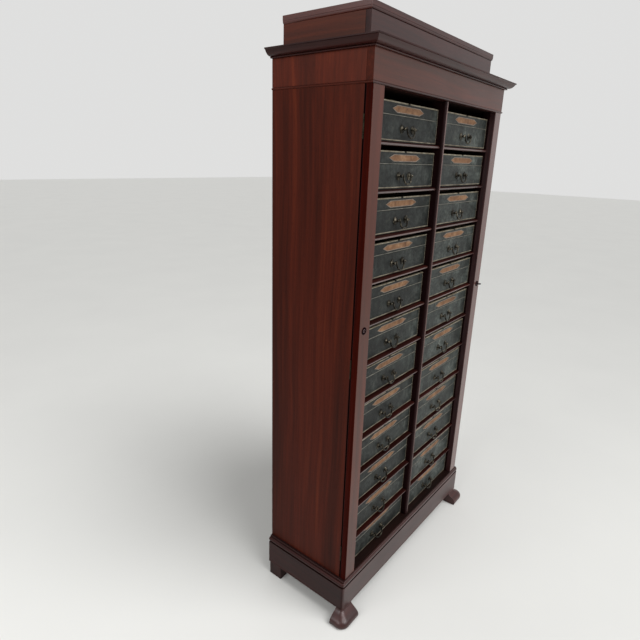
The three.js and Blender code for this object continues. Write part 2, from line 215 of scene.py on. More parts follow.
def lamp(name, kind, place, target, energy, **settings):
    """A soft lamp that looks from its place at a target point."""
    data = bpy.data.lights.new(name, kind)
    data.energy = energy
    for key, value in settings.items():
        setattr(data, key, value)
    made = link(bpy.data.objects.new(name, data))
    made.location = place
    aim = Vector(target) - Vector(place)
    made.rotation_euler = aim.to_track_quat("-Z", "Y").to_euler()


studio_floor()
studio_sky()
sun_width = math.radians(SUN_WIDTH_DEGREES)
lamp("soft sun", "SUN", (0.3, -2.9, 4.6), (0, 0, 0), SUN_STRENGTH, angle=sun_width)
lamp("front lamp", "AREA", (0.6, -3.4, 2.6), (0, 0, 1), FRONT_WATTS, size=2.6)
lamp("side lamp", "AREA", (-3.4, 0.4, 2.8), (-0.4, 0, 1), SIDE_WATTS, size=2.4)

# %% [markdown]
# ## Finishes
#
# Polished mahogany is a red-brown wood whose figure runs along each board: broad dark and light
# ribbons, finer streaks inside them and short dark pores. A texture that is stretched along one
# axis gives all three, so a wood is made for each direction it is used in, and each board takes the
# one that runs with it. Object coordinates keep the scale of the figure true everywhere. The front
# is polished bright and mirrors the pale floor. The sides have kept only a satin wax, which leaves
# them the deeper red. Behind the stiles, inside the cabinet and in the grooves, the wood is given
# darker plum tones as painted shade.

# %% Mahogany
RIBBON, RIBBON_ALONG = 17.0, 0.03
STREAK, STREAK_ALONG = 90.0, 0.02
PORE, PORE_ALONG = 900.0, 0.05
STREAK_SHARE = 0.38
WANDER = (0.07, 0.07, 0.07)
WOOD_STEPS = (0.30, 0.44, 0.56, 0.70)
RED_VARNISH = (1.0, 0.94, 0.82, 1)
DARK_VARNISH = (1.0, 0.91, 0.92, 1)


def colour_steps(tree, factor, steps):
    """A colour ramp through rows of (place, red, green, blue)."""
    ramp = node(tree, "ShaderNodeValToRGB", {"Fac": factor})
    elements = ramp.color_ramp.elements
    for element, (place, *colour) in zip(elements, steps):
        element.position = place
        element.color = (*colour, 1)
    for place, *colour in steps[2:]:
        elements.new(place).color = (*colour, 1)
    return ramp.outputs["Color"]


def stretched_noise(tree, place, grain, scale, share, detail):
    """A noise whose marks are long along the grain and short across it."""
    scales = [scale * (share if axis == grain else 1) for axis in "XYZ"]
    mapped = node(tree, "ShaderNodeMapping", {"Vector": place, "Scale": scales}).outputs[0]
    return clouds(tree, mapped, scale=1.0, detail=detail, roughness=0.55)


def wood(name, grain, tones, light, roughness, shine, coat, varnish=RED_VARNISH):
    """Figured wood with its grain along one axis. Its four tones are all multiplied by light."""
    material, tree, shader, place = new_material(name)
    wander = node(tree, "ShaderNodeTexNoise", {"Vector": place, "Scale": 1.3, "Detail": 1.0})
    shift = maths(tree, "MULTIPLY", wander.outputs["Color"], WANDER, "ShaderNodeVectorMath")
    bent = maths(tree, "ADD", place, shift, "ShaderNodeVectorMath")
    ribbon = stretched_noise(tree, bent, grain, RIBBON, RIBBON_ALONG, 3.0)
    streak = stretched_noise(tree, bent, grain, STREAK, STREAK_ALONG, 4.0)
    pore = stretched_noise(tree, place, grain, PORE, PORE_ALONG, 2.0)
    figure = node(tree, "ShaderNodeMix", {"Factor": STREAK_SHARE, "A": ribbon, "B": streak})
    steps = [(at, *(light * part for part in tone)) for at, tone in zip(WOOD_STEPS, tones)]
    colour = colour_steps(tree, figure.outputs[0], steps)
    pores = remap(tree, pore, 0.55, 1.0, start=0.30, end=0.42)
    rub = clouds(tree, place, scale=7.0, detail=5.0)
    plug(tree, shader, {
        "Base Color": blend(tree, 1.0, colour, pores, "MULTIPLY"),
        "Roughness": remap(tree, rub, roughness - 0.08, roughness + 0.1),
        "Normal": bumps(tree, pore, strength=0.12, distance=0.0004),
        "Specular IOR Level": shine,
        "Specular Tint": varnish,
        "Coat Weight": coat,
        "Coat Roughness": 0.16,
    })
    return material


RED = [
    (0.018, 0.0023, 0.0011), (0.038, 0.0053, 0.0023),
    (0.06, 0.0083, 0.0034), (0.095, 0.016, 0.0055),
]
# Deep tones are painted shade, for the stiles' outer sides.
DEEP = [
    (0.011, 0.0008, 0.0004), (0.022, 0.0017, 0.0008),
    (0.036, 0.0028, 0.0012), (0.055, 0.005, 0.0022),
]
DARK = [
    (0.008, 0.002, 0.0017), (0.018, 0.0042, 0.0034),
    (0.029, 0.0066, 0.0052), (0.045, 0.0105, 0.008),
]
# Pale pinkish tones as a painted highlight, for the lower edge of each shelf and the divider's
# right bead.
PAINTED_HIGHLIGHT = [
    (0.03, 0.013, 0.0115), (0.062, 0.03, 0.027),
    (0.095, 0.05, 0.045), (0.15, 0.088, 0.078),
]
# Shelf tones are painted shade, for the shelf tops that lie under the boxes.
SHELF = [
    (0.0072, 0.0012, 0.0009), (0.014, 0.0027, 0.0021),
    (0.0225, 0.0042, 0.0031), (0.035, 0.0075, 0.0055),
]
# Plum tones are painted shade, for faces inside the cabinet, behind the stiles and in the grooves.
PLUM_DARK = [
    (0.0044, 0.0013, 0.0015), (0.0082, 0.0024, 0.0027),
    (0.0135, 0.004, 0.0043), (0.0215, 0.0068, 0.007),
]
# Inner tones are painted shade, for the boards inside the cabinet and the plinth's upward faces.
INNER = [
    (0.0035, 0.0013, 0.0011), (0.0065, 0.0021, 0.0017),
    (0.0105, 0.003, 0.0024), (0.018, 0.005, 0.004),
]
BARE = [
    (0.026, 0.013, 0.0065), (0.048, 0.026, 0.013),
    (0.074, 0.043, 0.0225), (0.11, 0.068, 0.037),
]
# Each wood has its name, grain, tones, light, roughness, shine, coat and perhaps varnish.
RED_X = wood("red satin along X", "X", RED, 1.0, 0.42, 0.08, 0.0)
RED_Z = wood("red satin along Z", "Z", RED, 1.0, 0.42, 0.08, 0.0)
LIGHT_RED_Y = wood("lighter red along Y", "Y", RED, 1.35, 0.42, 0.12, 0.0)
LIGHT_RED_Z = wood("lighter red along Z", "Z", RED, 1.35, 0.42, 0.12, 0.0)
DEEP_RED = wood("deep red along Z", "Z", DEEP, 1.0, 0.42, 0.02, 0.0)
POLISHED_X = wood("red polished along X", "X", RED, 1.2, 0.32, 0.42, 0.12)
POLISHED_Z = wood("red polished along Z", "Z", RED, 1.2, 0.32, 0.42, 0.12)
BRIGHT_Z = wood("bright polish along Z", "Z", RED, 1.2, 0.28, 0.75, 0.5, DARK_VARNISH)
ATTIC_Y = wood("attic polish along Y", "Y", RED, 0.95, 0.45, 0.2, 0.02)
CAP_Y = wood("cap polish along Y", "Y", RED, 1.15, 0.36, 0.5, 0.1, DARK_VARNISH)
DARK_X = wood("dark satin along X", "X", DARK, 1.0, 0.38, 0.15, 0.05, DARK_VARNISH)
DARK_Y = wood("dark satin along Y", "Y", DARK, 1.0, 0.38, 0.15, 0.05, DARK_VARNISH)
DARK_Z = wood("dark satin along Z", "Z", DARK, 1.0, 0.38, 0.15, 0.05, DARK_VARNISH)
DARK_POLISHED = wood("dark polished along X", "X", DARK, 1.35, 0.32, 0.42, 0.08, DARK_VARNISH)
NOSING_HIGHLIGHT_X = wood("painted highlight along X", "X", PAINTED_HIGHLIGHT, 1.0, 0.28, 0.85, 0.45, DARK_VARNISH)
BEAD_HIGHLIGHT_Z = wood("painted highlight along Z", "Z", PAINTED_HIGHLIGHT, 1.0, 0.32, 0.4, 0.1, DARK_VARNISH)
SHELF_X = wood("shelf red along X", "X", SHELF, 1.0, 0.5, 0.04, 0.0)
PLUM = wood("plum dark along Z", "Z", PLUM_DARK, 1.0, 0.45, 0.06, 0.0, DARK_VARNISH)
REVEAL = wood("plum polished along Z", "Z", PLUM_DARK, 3.2, 0.35, 0.6, 0.1, DARK_VARNISH)
GROOVE_SHADE = wood("painted shade in a groove", "Z", PLUM_DARK, 0.3, 0.6, 0.02, 0.0, DARK_VARNISH)
INNER_X = wood("inner wood along X", "X", INNER, 1.0, 0.5, 0.15, 0.0)
INNER_Y = wood("inner wood along Y", "Y", INNER, 1.0, 0.5, 0.15, 0.0)
BACK_WOOD = wood("bare back boards along Z", "Z", BARE, 1.0, 0.6, 0.15, 0.0)
print("Materials with all the woods:", len(bpy.data.materials))

# %% [markdown]
# The boxes are covered with dark green-black leather. It has a fine pebbled grain, cloudy patches
# where hands have rubbed it, and pale edges where the leather has worn through to the board. The
# grain is a cell pattern in the bump, the clouds are three noises in the colour. A fourth, very
# broad one gives each box its own tone. On top of that the leather is painted lighter towards the
# right, a painted light that stands for the sheen of the right-hand boxes.


# %% Leather, worn edges and labels
LEATHER_STEPS = [
    (0.34, 0.0115, 0.013, 0.012), (0.47, 0.0215, 0.0248, 0.023),
    (0.57, 0.037, 0.0425, 0.039), (0.68, 0.063, 0.069, 0.061),
]
SCUFF_COLOUR = (0.11, 0.095, 0.07, 1)


def leather():
    """Worn green-black leather with a pebbled grain."""
    material, tree, shader, place = new_material("box leather")
    cloud = clouds(tree, place, scale=21.0, detail=7.0, roughness=0.72)
    scuff = clouds(tree, place, scale=70.0, detail=8.0, roughness=0.7)
    scuff = remap(tree, scuff, 0.0, 0.42, start=0.56, end=0.74)
    scuffed = blend(tree, scuff, colour_steps(tree, cloud, LEATHER_STEPS), SCUFF_COLOUR)
    # Painted light: the leather is lighter towards the right and darker towards the left, standing
    # for the sheen on the right-hand boxes.
    across = node(tree, "ShaderNodeSeparateXYZ", {"Vector": place}).outputs["X"]
    painted_light_across = remap(tree, across, 0.5, 1.55, start=-0.2, end=0.2)
    broad = clouds(tree, place, scale=6.0, detail=0.0)
    tone = remap(tree, broad, 0.6, 1.25, start=0.3, end=0.7)
    mottle = clouds(tree, place, scale=85.0, detail=3.0, roughness=0.6)
    mottle = remap(tree, mottle, 0.55, 1.55, start=0.34, end=0.68)
    light = maths(tree, "MULTIPLY", maths(tree, "MULTIPLY", painted_light_across, tone), mottle)
    pebble = node(tree, "ShaderNodeTexVoronoi", {"Vector": place, "Scale": 1100.0})
    wrinkle = clouds(tree, place, scale=160.0, detail=4.0)
    height = maths(tree, "ADD", pebble.outputs["Distance"], wrinkle)
    plug(tree, shader, {
        "Base Color": blend(tree, 1.0, scuffed, light, "MULTIPLY"),
        "Roughness": remap(tree, cloud, 0.36, 0.62),
        "Normal": bumps(tree, height, strength=0.3, distance=0.0004),
        "Specular IOR Level": 0.2,
    })
    return material


def patchy(name, steps, scale, roughness, metallic=0.0, specular=0.5, stretch=(1, 1, 1)):
    """A surface whose colour wanders between steps, such as worn board or old brass."""
    material, tree, shader, place = new_material(name)
    mapped = node(tree, "ShaderNodeMapping", {"Vector": place, "Scale": stretch}).outputs[0]
    patch = clouds(tree, mapped, scale, detail=6.0, roughness=0.65)
    grain = clouds(tree, place, scale=400.0, detail=4.0)
    plug(tree, shader, {
        "Base Color": colour_steps(tree, patch, steps),
        "Roughness": remap(tree, patch, roughness - 0.1, roughness + 0.12),
        "Normal": bumps(tree, grain, strength=0.25, distance=0.0003),
        "Metallic": metallic,
        "Specular IOR Level": specular,
    })
    return material


LEATHER = leather()
WORN_EDGE = patchy("worn edge", [
    (0.30, 0.05, 0.034, 0.018), (0.42, 0.15, 0.12, 0.075),
    (0.55, 0.24, 0.21, 0.15), (0.72, 0.34, 0.31, 0.24),
], scale=45.0, roughness=0.6, stretch=(1, 3, 3))
RUBBED_FOOT = patchy("rubbed lower edge", [
    (0.32, 0.045, 0.036, 0.024), (0.44, 0.11, 0.09, 0.06),
    (0.56, 0.19, 0.165, 0.118), (0.72, 0.29, 0.262, 0.2),
], scale=30.0, roughness=0.6, stretch=(1, 3, 3))
GILT_LINE = patchy("gilt line", [
    (0.30, 0.035, 0.036, 0.03), (0.44, 0.095, 0.092, 0.076),
    (0.58, 0.15, 0.144, 0.118), (0.74, 0.22, 0.208, 0.165),
], scale=60.0, roughness=0.5)
LABEL_TAN = patchy("label leather", [
    (0.30, 0.088, 0.038, 0.016), (0.45, 0.16, 0.076, 0.034),
    (0.60, 0.228, 0.122, 0.061), (0.75, 0.29, 0.183, 0.106),
], scale=42.0, roughness=0.55, specular=0.25)
LABEL_BORDER = patchy("label border", [
    (0.30, 0.09, 0.062, 0.044), (0.50, 0.16, 0.118, 0.088), (0.75, 0.25, 0.2, 0.158),
], scale=60.0, roughness=0.45)
LINING = patchy("lining paper", [
    (0.30, 0.21, 0.165, 0.105), (0.50, 0.29, 0.24, 0.165), (0.75, 0.36, 0.31, 0.225),
], scale=14.0, roughness=0.8)

# %% [markdown]
# The handles are brass that has gone almost black, and it shines only where fingers reach. The
# lock pieces are dark iron. Both are metals here, with a patchy colour and a patchy roughness.
# The escutcheons are dark rings that hands have rubbed pale round the keyhole.

# %% Brass, rings and iron
BRASS = patchy("aged brass", [
    (0.37, 0.009, 0.008, 0.007), (0.50, 0.026, 0.023, 0.017),
    (0.61, 0.098, 0.086, 0.065), (0.73, 0.33, 0.292, 0.222),
], scale=95.0, roughness=0.38, metallic=1.0)
# The knuckles' brass is darker than the handles' as painted shade of the groove they stand in.
DULL_SHADED_BRASS = patchy("dull brass with painted shade", [
    (0.30, 0.006, 0.005, 0.004), (0.50, 0.02, 0.017, 0.011), (0.75, 0.055, 0.049, 0.032),
], scale=60.0, roughness=0.55, metallic=1.0, stretch=(3, 3, 1))
RING_DARK = patchy("dark ring", [
    (0.30, 0.003, 0.001, 0.0015), (0.50, 0.006, 0.002, 0.003), (0.75, 0.011, 0.004, 0.0055),
], scale=90.0, roughness=0.75, specular=0.02)
RING_LIGHT = patchy("rubbed middle of a ring", [
    (0.30, 0.045, 0.022, 0.023), (0.50, 0.08, 0.046, 0.049), (0.75, 0.13, 0.085, 0.09),
], scale=90.0, roughness=0.4)
IRON = patchy("dark iron", [
    (0.30, 0.007, 0.005, 0.006), (0.50, 0.015, 0.011, 0.012), (0.75, 0.05, 0.04, 0.042),
], scale=120.0, roughness=0.5, metallic=1.0)
print("Materials in all:", len(bpy.data.materials))

# %% [markdown]
# ## Helpers for joinery
#
# Boards are closed boxes with softened arrises, mouldings are outlines that run round the left
# side, the front and the right side with mitred corners. Both are plain mesh code, because each has
# few faces and exact places. Softening is a Bevel modifier that is applied before the piece is
# handed on.


# %% Making a piece from a mesh
def as_piece(name, bm, materials):
    """Puts a finished bmesh into the scene as an object with these materials."""
    bmesh.ops.recalc_face_normals(bm, faces=bm.faces)
    mesh = bpy.data.meshes.new(name)
    bm.to_mesh(mesh)
    bm.free()
    for material in materials:
        mesh.materials.append(material)
    return link(bpy.data.objects.new(name, mesh))


def apply_modifiers(piece):
    """Replaces a piece's mesh by what its modifiers make of it."""
    graph = bpy.context.evaluated_depsgraph_get()
    made = bpy.data.meshes.new_from_object(piece.evaluated_get(graph), depsgraph=graph)
    made.name = piece.name
    piece.modifiers.clear()
    piece.data = made


def settle(piece, smooth_to=38):
    """Applies a piece's modifiers and shades it smooth, but for edges sharper than smooth_to
    degrees. Weighted normals then keep each wide face looking level beside its arrises."""
    if piece.modifiers:
        apply_modifiers(piece)
    piece.data.shade_smooth()
    piece.data.set_sharp_from_angle(angle=math.radians(smooth_to))
    level = piece.modifiers.new("level faces", "WEIGHTED_NORMAL")
    level.keep_sharp = True
    apply_modifiers(piece)
    return piece


def soften(piece, width):
    """Rounds every sharp arris of a piece by a small width."""
    bevel = piece.modifiers.new("softened arrises", "BEVEL")
    bevel.width = width
    bevel.segments = 2
    bevel.limit_method = "ANGLE"
    bevel.angle_limit = math.radians(30)
    bevel.use_clamp_overlap = True
    return settle(piece)


def refinish(piece, material, chosen):
    """Gives another material to the faces that are chosen."""
    piece.data.materials.append(material)
    for face in piece.data.polygons:
        if chosen(face):
            face.material_index = len(piece.data.materials) - 1
    return piece


# A face looks forward where the Y part of its normal is under this.
FORWARD = -0.93


def polish_front(piece, material):
    """Gives another material to the faces that look forward."""
    return refinish(piece, material, lambda face: face.normal.y < FORWARD)


def hand_over(piece, body, slot, *nodes):
    """Gives a piece its body and hides the frame nodes that it stands for. The slot is not used."""
    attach(piece, body)
    if nodes:
        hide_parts(*nodes)
    return piece


BOX_FACES = [(0, 2, 3, 1), (4, 5, 7, 6), (0, 1, 5, 4), (2, 6, 7, 3), (0, 4, 6, 2), (1, 3, 7, 5)]


def add_box(bm, one, other, material=0):
    """Adds a closed box between two opposite corners."""
    xs, ys, zs = [sorted(pair) for pair in zip(one, other)]
    corners = [bm.verts.new((x, y, z)) for z in zs for y in ys for x in xs]
    for places in BOX_FACES:
        bm.faces.new([corners[i] for i in places]).material_index = material


def boards(name, sizes, materials, arris=0.0008):
    """One piece of one or more boards. Each is (corner, opposite corner, material index)."""
    bm = bmesh.new()
    for one, other, material in sizes:
        add_box(bm, one, other, material)
    return soften(as_piece(name, bm, materials), arris)


def skin(bm, rings, material=0, ends=True):
    """Joins each ring of points to the next with a belt of faces, and closes the two ends."""
    faces = []
    for before, after in zip(rings, rings[1:]):
        for i in range(len(before)):
            j = (i + 1) % len(before)
            faces.append(bm.faces.new([before[i], before[j], after[j], after[i]]))
    if ends:
        faces += [bm.faces.new(rings[0]), bm.faces.new(rings[-1])]
    for face in faces:
        face.material_index = material


def lofted(name, rings, materials):
    """One piece through rings of places, closed at both ends."""
    bm = bmesh.new()
    skin(bm, [[bm.verts.new(place) for place in ring] for ring in rings])
    return as_piece(name, bm, materials)


# %% Outlines and mitred mouldings
LEAST_ROUND = 0.0005
MERGE_WITHIN = 0.00001


def arc(centre, radius, start, end, steps):
    """Points of an arc, with its angles in degrees."""
    angles = [math.radians(start + (end - start) * i / steps) for i in range(steps + 1)]
    return [(centre[0] + radius * math.cos(a), centre[1] + radius * math.sin(a)) for a in angles]


def moulding(name, outline, side_base, front_base, materials, corner=0.0, corner_steps=6):
    """Runs a closed outline of (side reach, front reach, height) round three sides of the
    cabinet. Reaches are measured outwards from side_base and front_base. The sides get the first
    material, the front the second. A corner radius rounds the outer corners."""
    bm = bmesh.new()
    rings = []
    for side_reach, front_reach, z in outline:
        x = side_base + side_reach
        y = front_base - front_reach
        round_by = max(corner + min(side_reach, front_reach), 0.0) if corner else 0.0
        if round_by > LEAST_ROUND:
            bend = arc((x - round_by, y + round_by), round_by, 0, -90, corner_steps)
        else:
            bend = [(x, y)] * (corner_steps + 1) if corner else [(x, y)]
        path = [(x, BACK)] + bend
        ring = path + [(-px, py) for px, py in reversed(path)]
        rings.append([bm.verts.new((px, py, z)) for px, py in ring])
    stations = len(rings[0])
    middle = stations // 2 - 1
    half_bend = corner_steps // 2 if corner else 0
    for i, ring in enumerate(rings):
        following = rings[(i + 1) % len(rings)]
        for k in range(stations - 1):
            face = bm.faces.new([ring[k], ring[k + 1], following[k + 1], following[k]])
            face.material_index = 1 if abs(k - middle) <= half_bend else 0
    bm.faces.new([ring[0] for ring in rings])
    bm.faces.new([ring[-1] for ring in reversed(rings)])
    bmesh.ops.remove_doubles(bm, verts=bm.verts, dist=MERGE_WITHIN)
    return as_piece(name, bm, materials)


def same(points):
    """The same reach on the sides and on the front."""
    return [(reach, reach, z) for reach, z in points]


# %% [markdown]
# ## Plinth
#
# The plinth is a frame of boards under the cabinet. On top it has a round torus between two dark
# grooves and a thin bead, which lead the eye in to the body. Its outer corners are rounded. It
# could be carved from one block with modifiers, but an outline that runs round the three sides is
# how it is made on the bench, and keeps the moulding crisp.

# %% Plinth pieces
MOULDING_HEIGHT = 0.024
PLINTH_SIDE_REACH = 0.0165
PLINTH_FRONT_REACH = 0.007
PLINTH_WALL = 0.022
LIP = 0.0006
LIP_HEIGHT = 0.005
GROOVE_WIDTH = 0.0042
TORUS_SHARES = [
    (0.70, 0.05), (0.90, 0.10), (0.98, 0.18), (1.0, 0.28), (0.99, 0.38), (0.95, 0.47),
    (0.88, 0.55), (0.77, 0.61), (0.64, 0.65), (0.50, 0.66), (0.42, 0.68), (0.40, 0.71),
    (0.46, 0.73), (0.50, 0.78), (0.50, 0.83), (0.45, 0.88), (0.36, 0.91), (0.22, 0.92),
    (0.16, 0.86), (0.04, 0.86),
]
FLOOR_THICKNESS = 0.018
CORNER_RADIUS = 0.011
REAR_FOOT_WIDTH = 0.036
REAR_FOOT_DEPTH = 0.058
REAR_FOOT_INSET = 0.003
REAR_FOOT_TENON = 0.004
UPWARD = 0.95

plinth_x = SIDE_FACE + PLINTH_SIDE_REACH
plinth_y = FACE - PLINTH_FRONT_REACH
groove_z = PLINTH_TOP - MOULDING_HEIGHT
lip_z = PLINTH_BOTTOM + LIP_HEIGHT
torus = [
    (
        -PLINTH_SIDE_REACH * (1 - across),
        -PLINTH_FRONT_REACH * (1 - across),
        groove_z + MOULDING_HEIGHT * up,
    )
    for across, up in TORUS_SHARES
]
plinth_outline = [
    *same([(0, PLINTH_BOTTOM), (LIP, PLINTH_BOTTOM + LIP), (LIP, lip_z), (0, lip_z + LIP)]),
    *same([(0, groove_z - GROOVE_WIDTH), (-GROOVE_WIDTH, groove_z - GROOVE_WIDTH)]),
    *same([(-GROOVE_WIDTH, groove_z)]),
    *torus,
    (-PLINTH_SIDE_REACH, -PLINTH_FRONT_REACH, PLINTH_TOP),
    *same([(-PLINTH_WALL, PLINTH_TOP), (-PLINTH_WALL, PLINTH_BOTTOM)]),
]
plinth_woods = [DARK_Y, DARK_POLISHED]
plinth = moulding(
    "plinth_frame", plinth_outline, plinth_x, plinth_y, plinth_woods, CORNER_RADIUS
)
soften(plinth, width=0.0005)
# The plinth's upward faces, its top and the floors of its groove and torus, get the inner wood's
# dark tones as painted shade.
refinish(plinth, INNER_X, lambda face: face.normal.z > UPWARD)
hand_over(plinth, "carcass", "dark_mahogany", "plinth")

inner_x = plinth_x - PLINTH_WALL - FIT
inner_back = BACK - PLINTH_WALL
floor_top = PLINTH_TOP - HAIR
floor_corner = (-inner_x, plinth_y + PLINTH_WALL + FIT, PLINTH_TOP - FLOOR_THICKNESS)
under_boards = [
    (floor_corner, (inner_x, inner_back - FIT, floor_top), 0),
    ((-inner_x, inner_back, PLINTH_BOTTOM), (inner_x, BACK, floor_top), 0),
]
rear_x = plinth_x - REAR_FOOT_INSET
rear_y = BACK - REAR_FOOT_INSET
for side, _ in SIDES:
    top_corner = (side * (rear_x - REAR_FOOT_WIDTH), rear_y, PLINTH_BOTTOM + REAR_FOOT_TENON)
    under_boards.append(((side * rear_x, rear_y - REAR_FOOT_DEPTH, 0), top_corner, 1))
floor_and_feet = boards("floor_and_rear_feet", under_boards, [INNER_X, DARK_Z])
hand_over(floor_and_feet, "carcass", "dark_mahogany")
print("Plinth", mm(PLINTH_TOP - PLINTH_BOTTOM), "mm high on feet of", mm(PLINTH_BOTTOM), "mm")

# %% [markdown]
# ## Front feet
#
# Each front foot is a block that leaves the plinth with a slim neck and swells into a round toe to
# the front and to the outside. Its upright outline is an S, so the foot is a stack of rings whose
# reach follows a smooth curve through a few chosen points. More rings than the frame has give it
# the soft belly that catches the light.

# %% Foot rings
FOOT_WIDTH = 0.060
FOOT_DEPTH = 0.028
FOOT_INSET = 0.0035
TOE_REACH = 0.035
NECK_RADIUS = 0.010
TOE_RADIUS = 0.032
TOE_STEPS = 14
FOOT_LEVELS = 40
FOOT_SHARES = [
    (0.0, 0.86, 1.0), (0.10, 0.965, 1.0), (0.22, 1.0, 1.0), (0.36, 0.95, 0.95),
    (0.49, 0.79, 0.8), (0.60, 0.52, 0.55), (0.70, 0.24, 0.3), (0.80, 0.04, 0.12),
    (0.90, -0.04, 0.05), (1.0, 0.0, 0.0),
]


def smooth_through(points, at):
    """The values of a smooth curve through rows of (place, value, value) at one place."""
    last = len(points) - 2
    i = min(max(sum(1 for p in points if p[0] <= at) - 1, 0), last)
    before, start = points[max(i - 1, 0)], points[i]
    end, after = points[i + 1], points[min(i + 2, last + 1)]
    width = end[0] - start[0]
    t = (at - start[0]) / width
    values = []
    for k in range(1, len(start)):
        slope_in = (end[k] - before[k]) / (end[0] - before[0]) * width
        slope_out = (after[k] - start[k]) / (after[0] - start[0]) * width
        values.append(
            (2 * t**3 - 3 * t**2 + 1) * start[k]
            + (t**3 - 2 * t**2 + t) * slope_in
            + (3 * t**2 - 2 * t**3) * end[k]
            + (t**3 - t**2) * slope_out
        )
    return values


def front_foot(side, word):
    """The front foot of one side, -1 for the left and 1 for the right."""
    outer = plinth_x - FOOT_INSET
    front = plinth_y + FOOT_INSET
    inner, rear = outer - FOOT_WIDTH, front + FOOT_DEPTH
    rings = []
    for level in range(FOOT_LEVELS + 1):
        height_share = level / FOOT_LEVELS
        reach_share, round_share = smooth_through(FOOT_SHARES, height_share)
        reach = TOE_REACH * reach_share
        radius = NECK_RADIUS + (TOE_RADIUS - NECK_RADIUS) * round_share
        toe = arc((outer + reach - radius, front - reach + radius), radius, -90, 0, TOE_STEPS)
        plan = [(inner, front - reach), *toe, (outer + reach, rear), (inner, rear)]
        rings.append([(side * x, y, PLINTH_BOTTOM * height_share) for x, y in plan])
    return soften(lofted("foot_" + word, rings, [DARK_POLISHED]), width=0.0012)


for side, word in SIDES:
    hand_over(front_foot(side, word), "carcass", "dark_mahogany", "foot_front_" + word)
print("Front feet of", FOOT_LEVELS + 1, "rings each")

# %% [markdown]
# ## Entablature and attic
#
# Above the boxes come a thin astragal, the plain frieze, the cornice, and the attic with its cap.
# The frieze is made of four boards, so that the end of its front board shows as a line down the
# side. The cornice is one outline: a bead at its foot, a dark groove, a round belly that leans
# outwards, and the square fillet on top.

# %% Astragal and frieze
ASTRAGAL_HEIGHT = 0.006
CORNICE_HEIGHT = 0.0245
CORNICE_REACH = 0.033
BOARD = 0.022
JOINT = 0.0004


def four_boards(name, side_face, front, wall, bottom, top, materials):
    """A front board, a back board and two side boards round a hollow middle."""
    inner = side_face - wall
    sizes = [
        ((-side_face, front, bottom), (side_face, front + wall, top), 0),
        ((-inner, BACK - wall, bottom), (inner, BACK, top), 0),
    ]
    for side, _ in SIDES:
        corner = (side * side_face, front + wall + JOINT, bottom)
        sizes.append((corner, (side * inner, BACK, top), 1))
    return boards(name, sizes, materials)


frieze_bottom = OPENING_TOP + ASTRAGAL_HEIGHT
cornice_bottom = CORNICE_TOP - CORNICE_HEIGHT
round_nose = arc((0, OPENING_TOP + ASTRAGAL_HEIGHT / 2), ASTRAGAL_HEIGHT / 2, -90, 90, steps=8)
astragal_outline = same([(-BOARD, OPENING_TOP), *round_nose, (-BOARD, frieze_bottom)])
astragal_woods = [LIGHT_RED_Y, DARK_POLISHED]
astragal = moulding("astragal", astragal_outline, SIDE_FACE, FACE, astragal_woods)
hand_over(soften(astragal, width=0.0003), "carcass", "dark_mahogany")

frieze_woods = [RED_X, LIGHT_RED_Z]
frieze = four_boards(
    "frieze", SIDE_FACE, FACE, BOARD, frieze_bottom + JOINT, cornice_bottom, frieze_woods
)
hand_over(polish_front(frieze, POLISHED_X), "carcass", "dark_mahogany")

# %% Cornice and ceiling
CORNICE_BEAD = 0.0020
BEAD_REACH = 0.0066
GROOVE_REACH = 0.0053
GROOVE_RISE = 2.05
CORNICE_FOOT = 0.1
BELLY_SHARES = [
    (0.19, 0.30), (0.21, 0.42), (0.26, 0.52), (0.34, 0.62),
    (0.46, 0.72), (0.58, 0.80), (0.70, 0.86), (0.80, 0.90),
]
BELLY_STEPS = 28
BELLY_CROWDING = 1.6
FILLET_SHARES = [(0.84, 0.94), (0.87, 1.0), (1.0, 1.0)]
CEILING_THICKNESS = 0.014
CORNICE_INNER = 0.020
RIM = 0.028
ATTIC_SETBACK = 0.004
STRAIGHT_AHEAD = -0.995

bead = arc((0, cornice_bottom + CORNICE_BEAD), CORNICE_BEAD, -90, 90, steps=8)
lowest, highest = BELLY_SHARES[0][0], BELLY_SHARES[-1][0]
rises = [
    lowest + (highest - lowest) * (i / BELLY_STEPS) ** BELLY_CROWDING
    for i in range(BELLY_STEPS + 1)
]
belly = [(rise, smooth_through(BELLY_SHARES, rise)[0]) for rise in rises]
cornice_outline = same([
    (CORNICE_REACH * CORNICE_FOOT, cornice_bottom),
    *[(BEAD_REACH + x, z) for x, z in bead],
    (GROOVE_REACH, cornice_bottom + GROOVE_RISE * CORNICE_BEAD),
    *[
        (CORNICE_REACH * reach, cornice_bottom + CORNICE_HEIGHT * rise)
        for rise, reach in belly + FILLET_SHARES
    ],
    (-CORNICE_INNER, CORNICE_TOP),
    (-CORNICE_INNER, cornice_bottom),
])
cornice_woods = [DARK_Y, DARK_POLISHED]
cornice = moulding("cornice", cornice_outline, SIDE_FACE, FACE, cornice_woods)
settle(cornice, smooth_to=32)
refinish(cornice, DARK_X, lambda face: face.normal.y < STRAIGHT_AHEAD)
hand_over(cornice, "carcass", "dark_mahogany", "entablature")

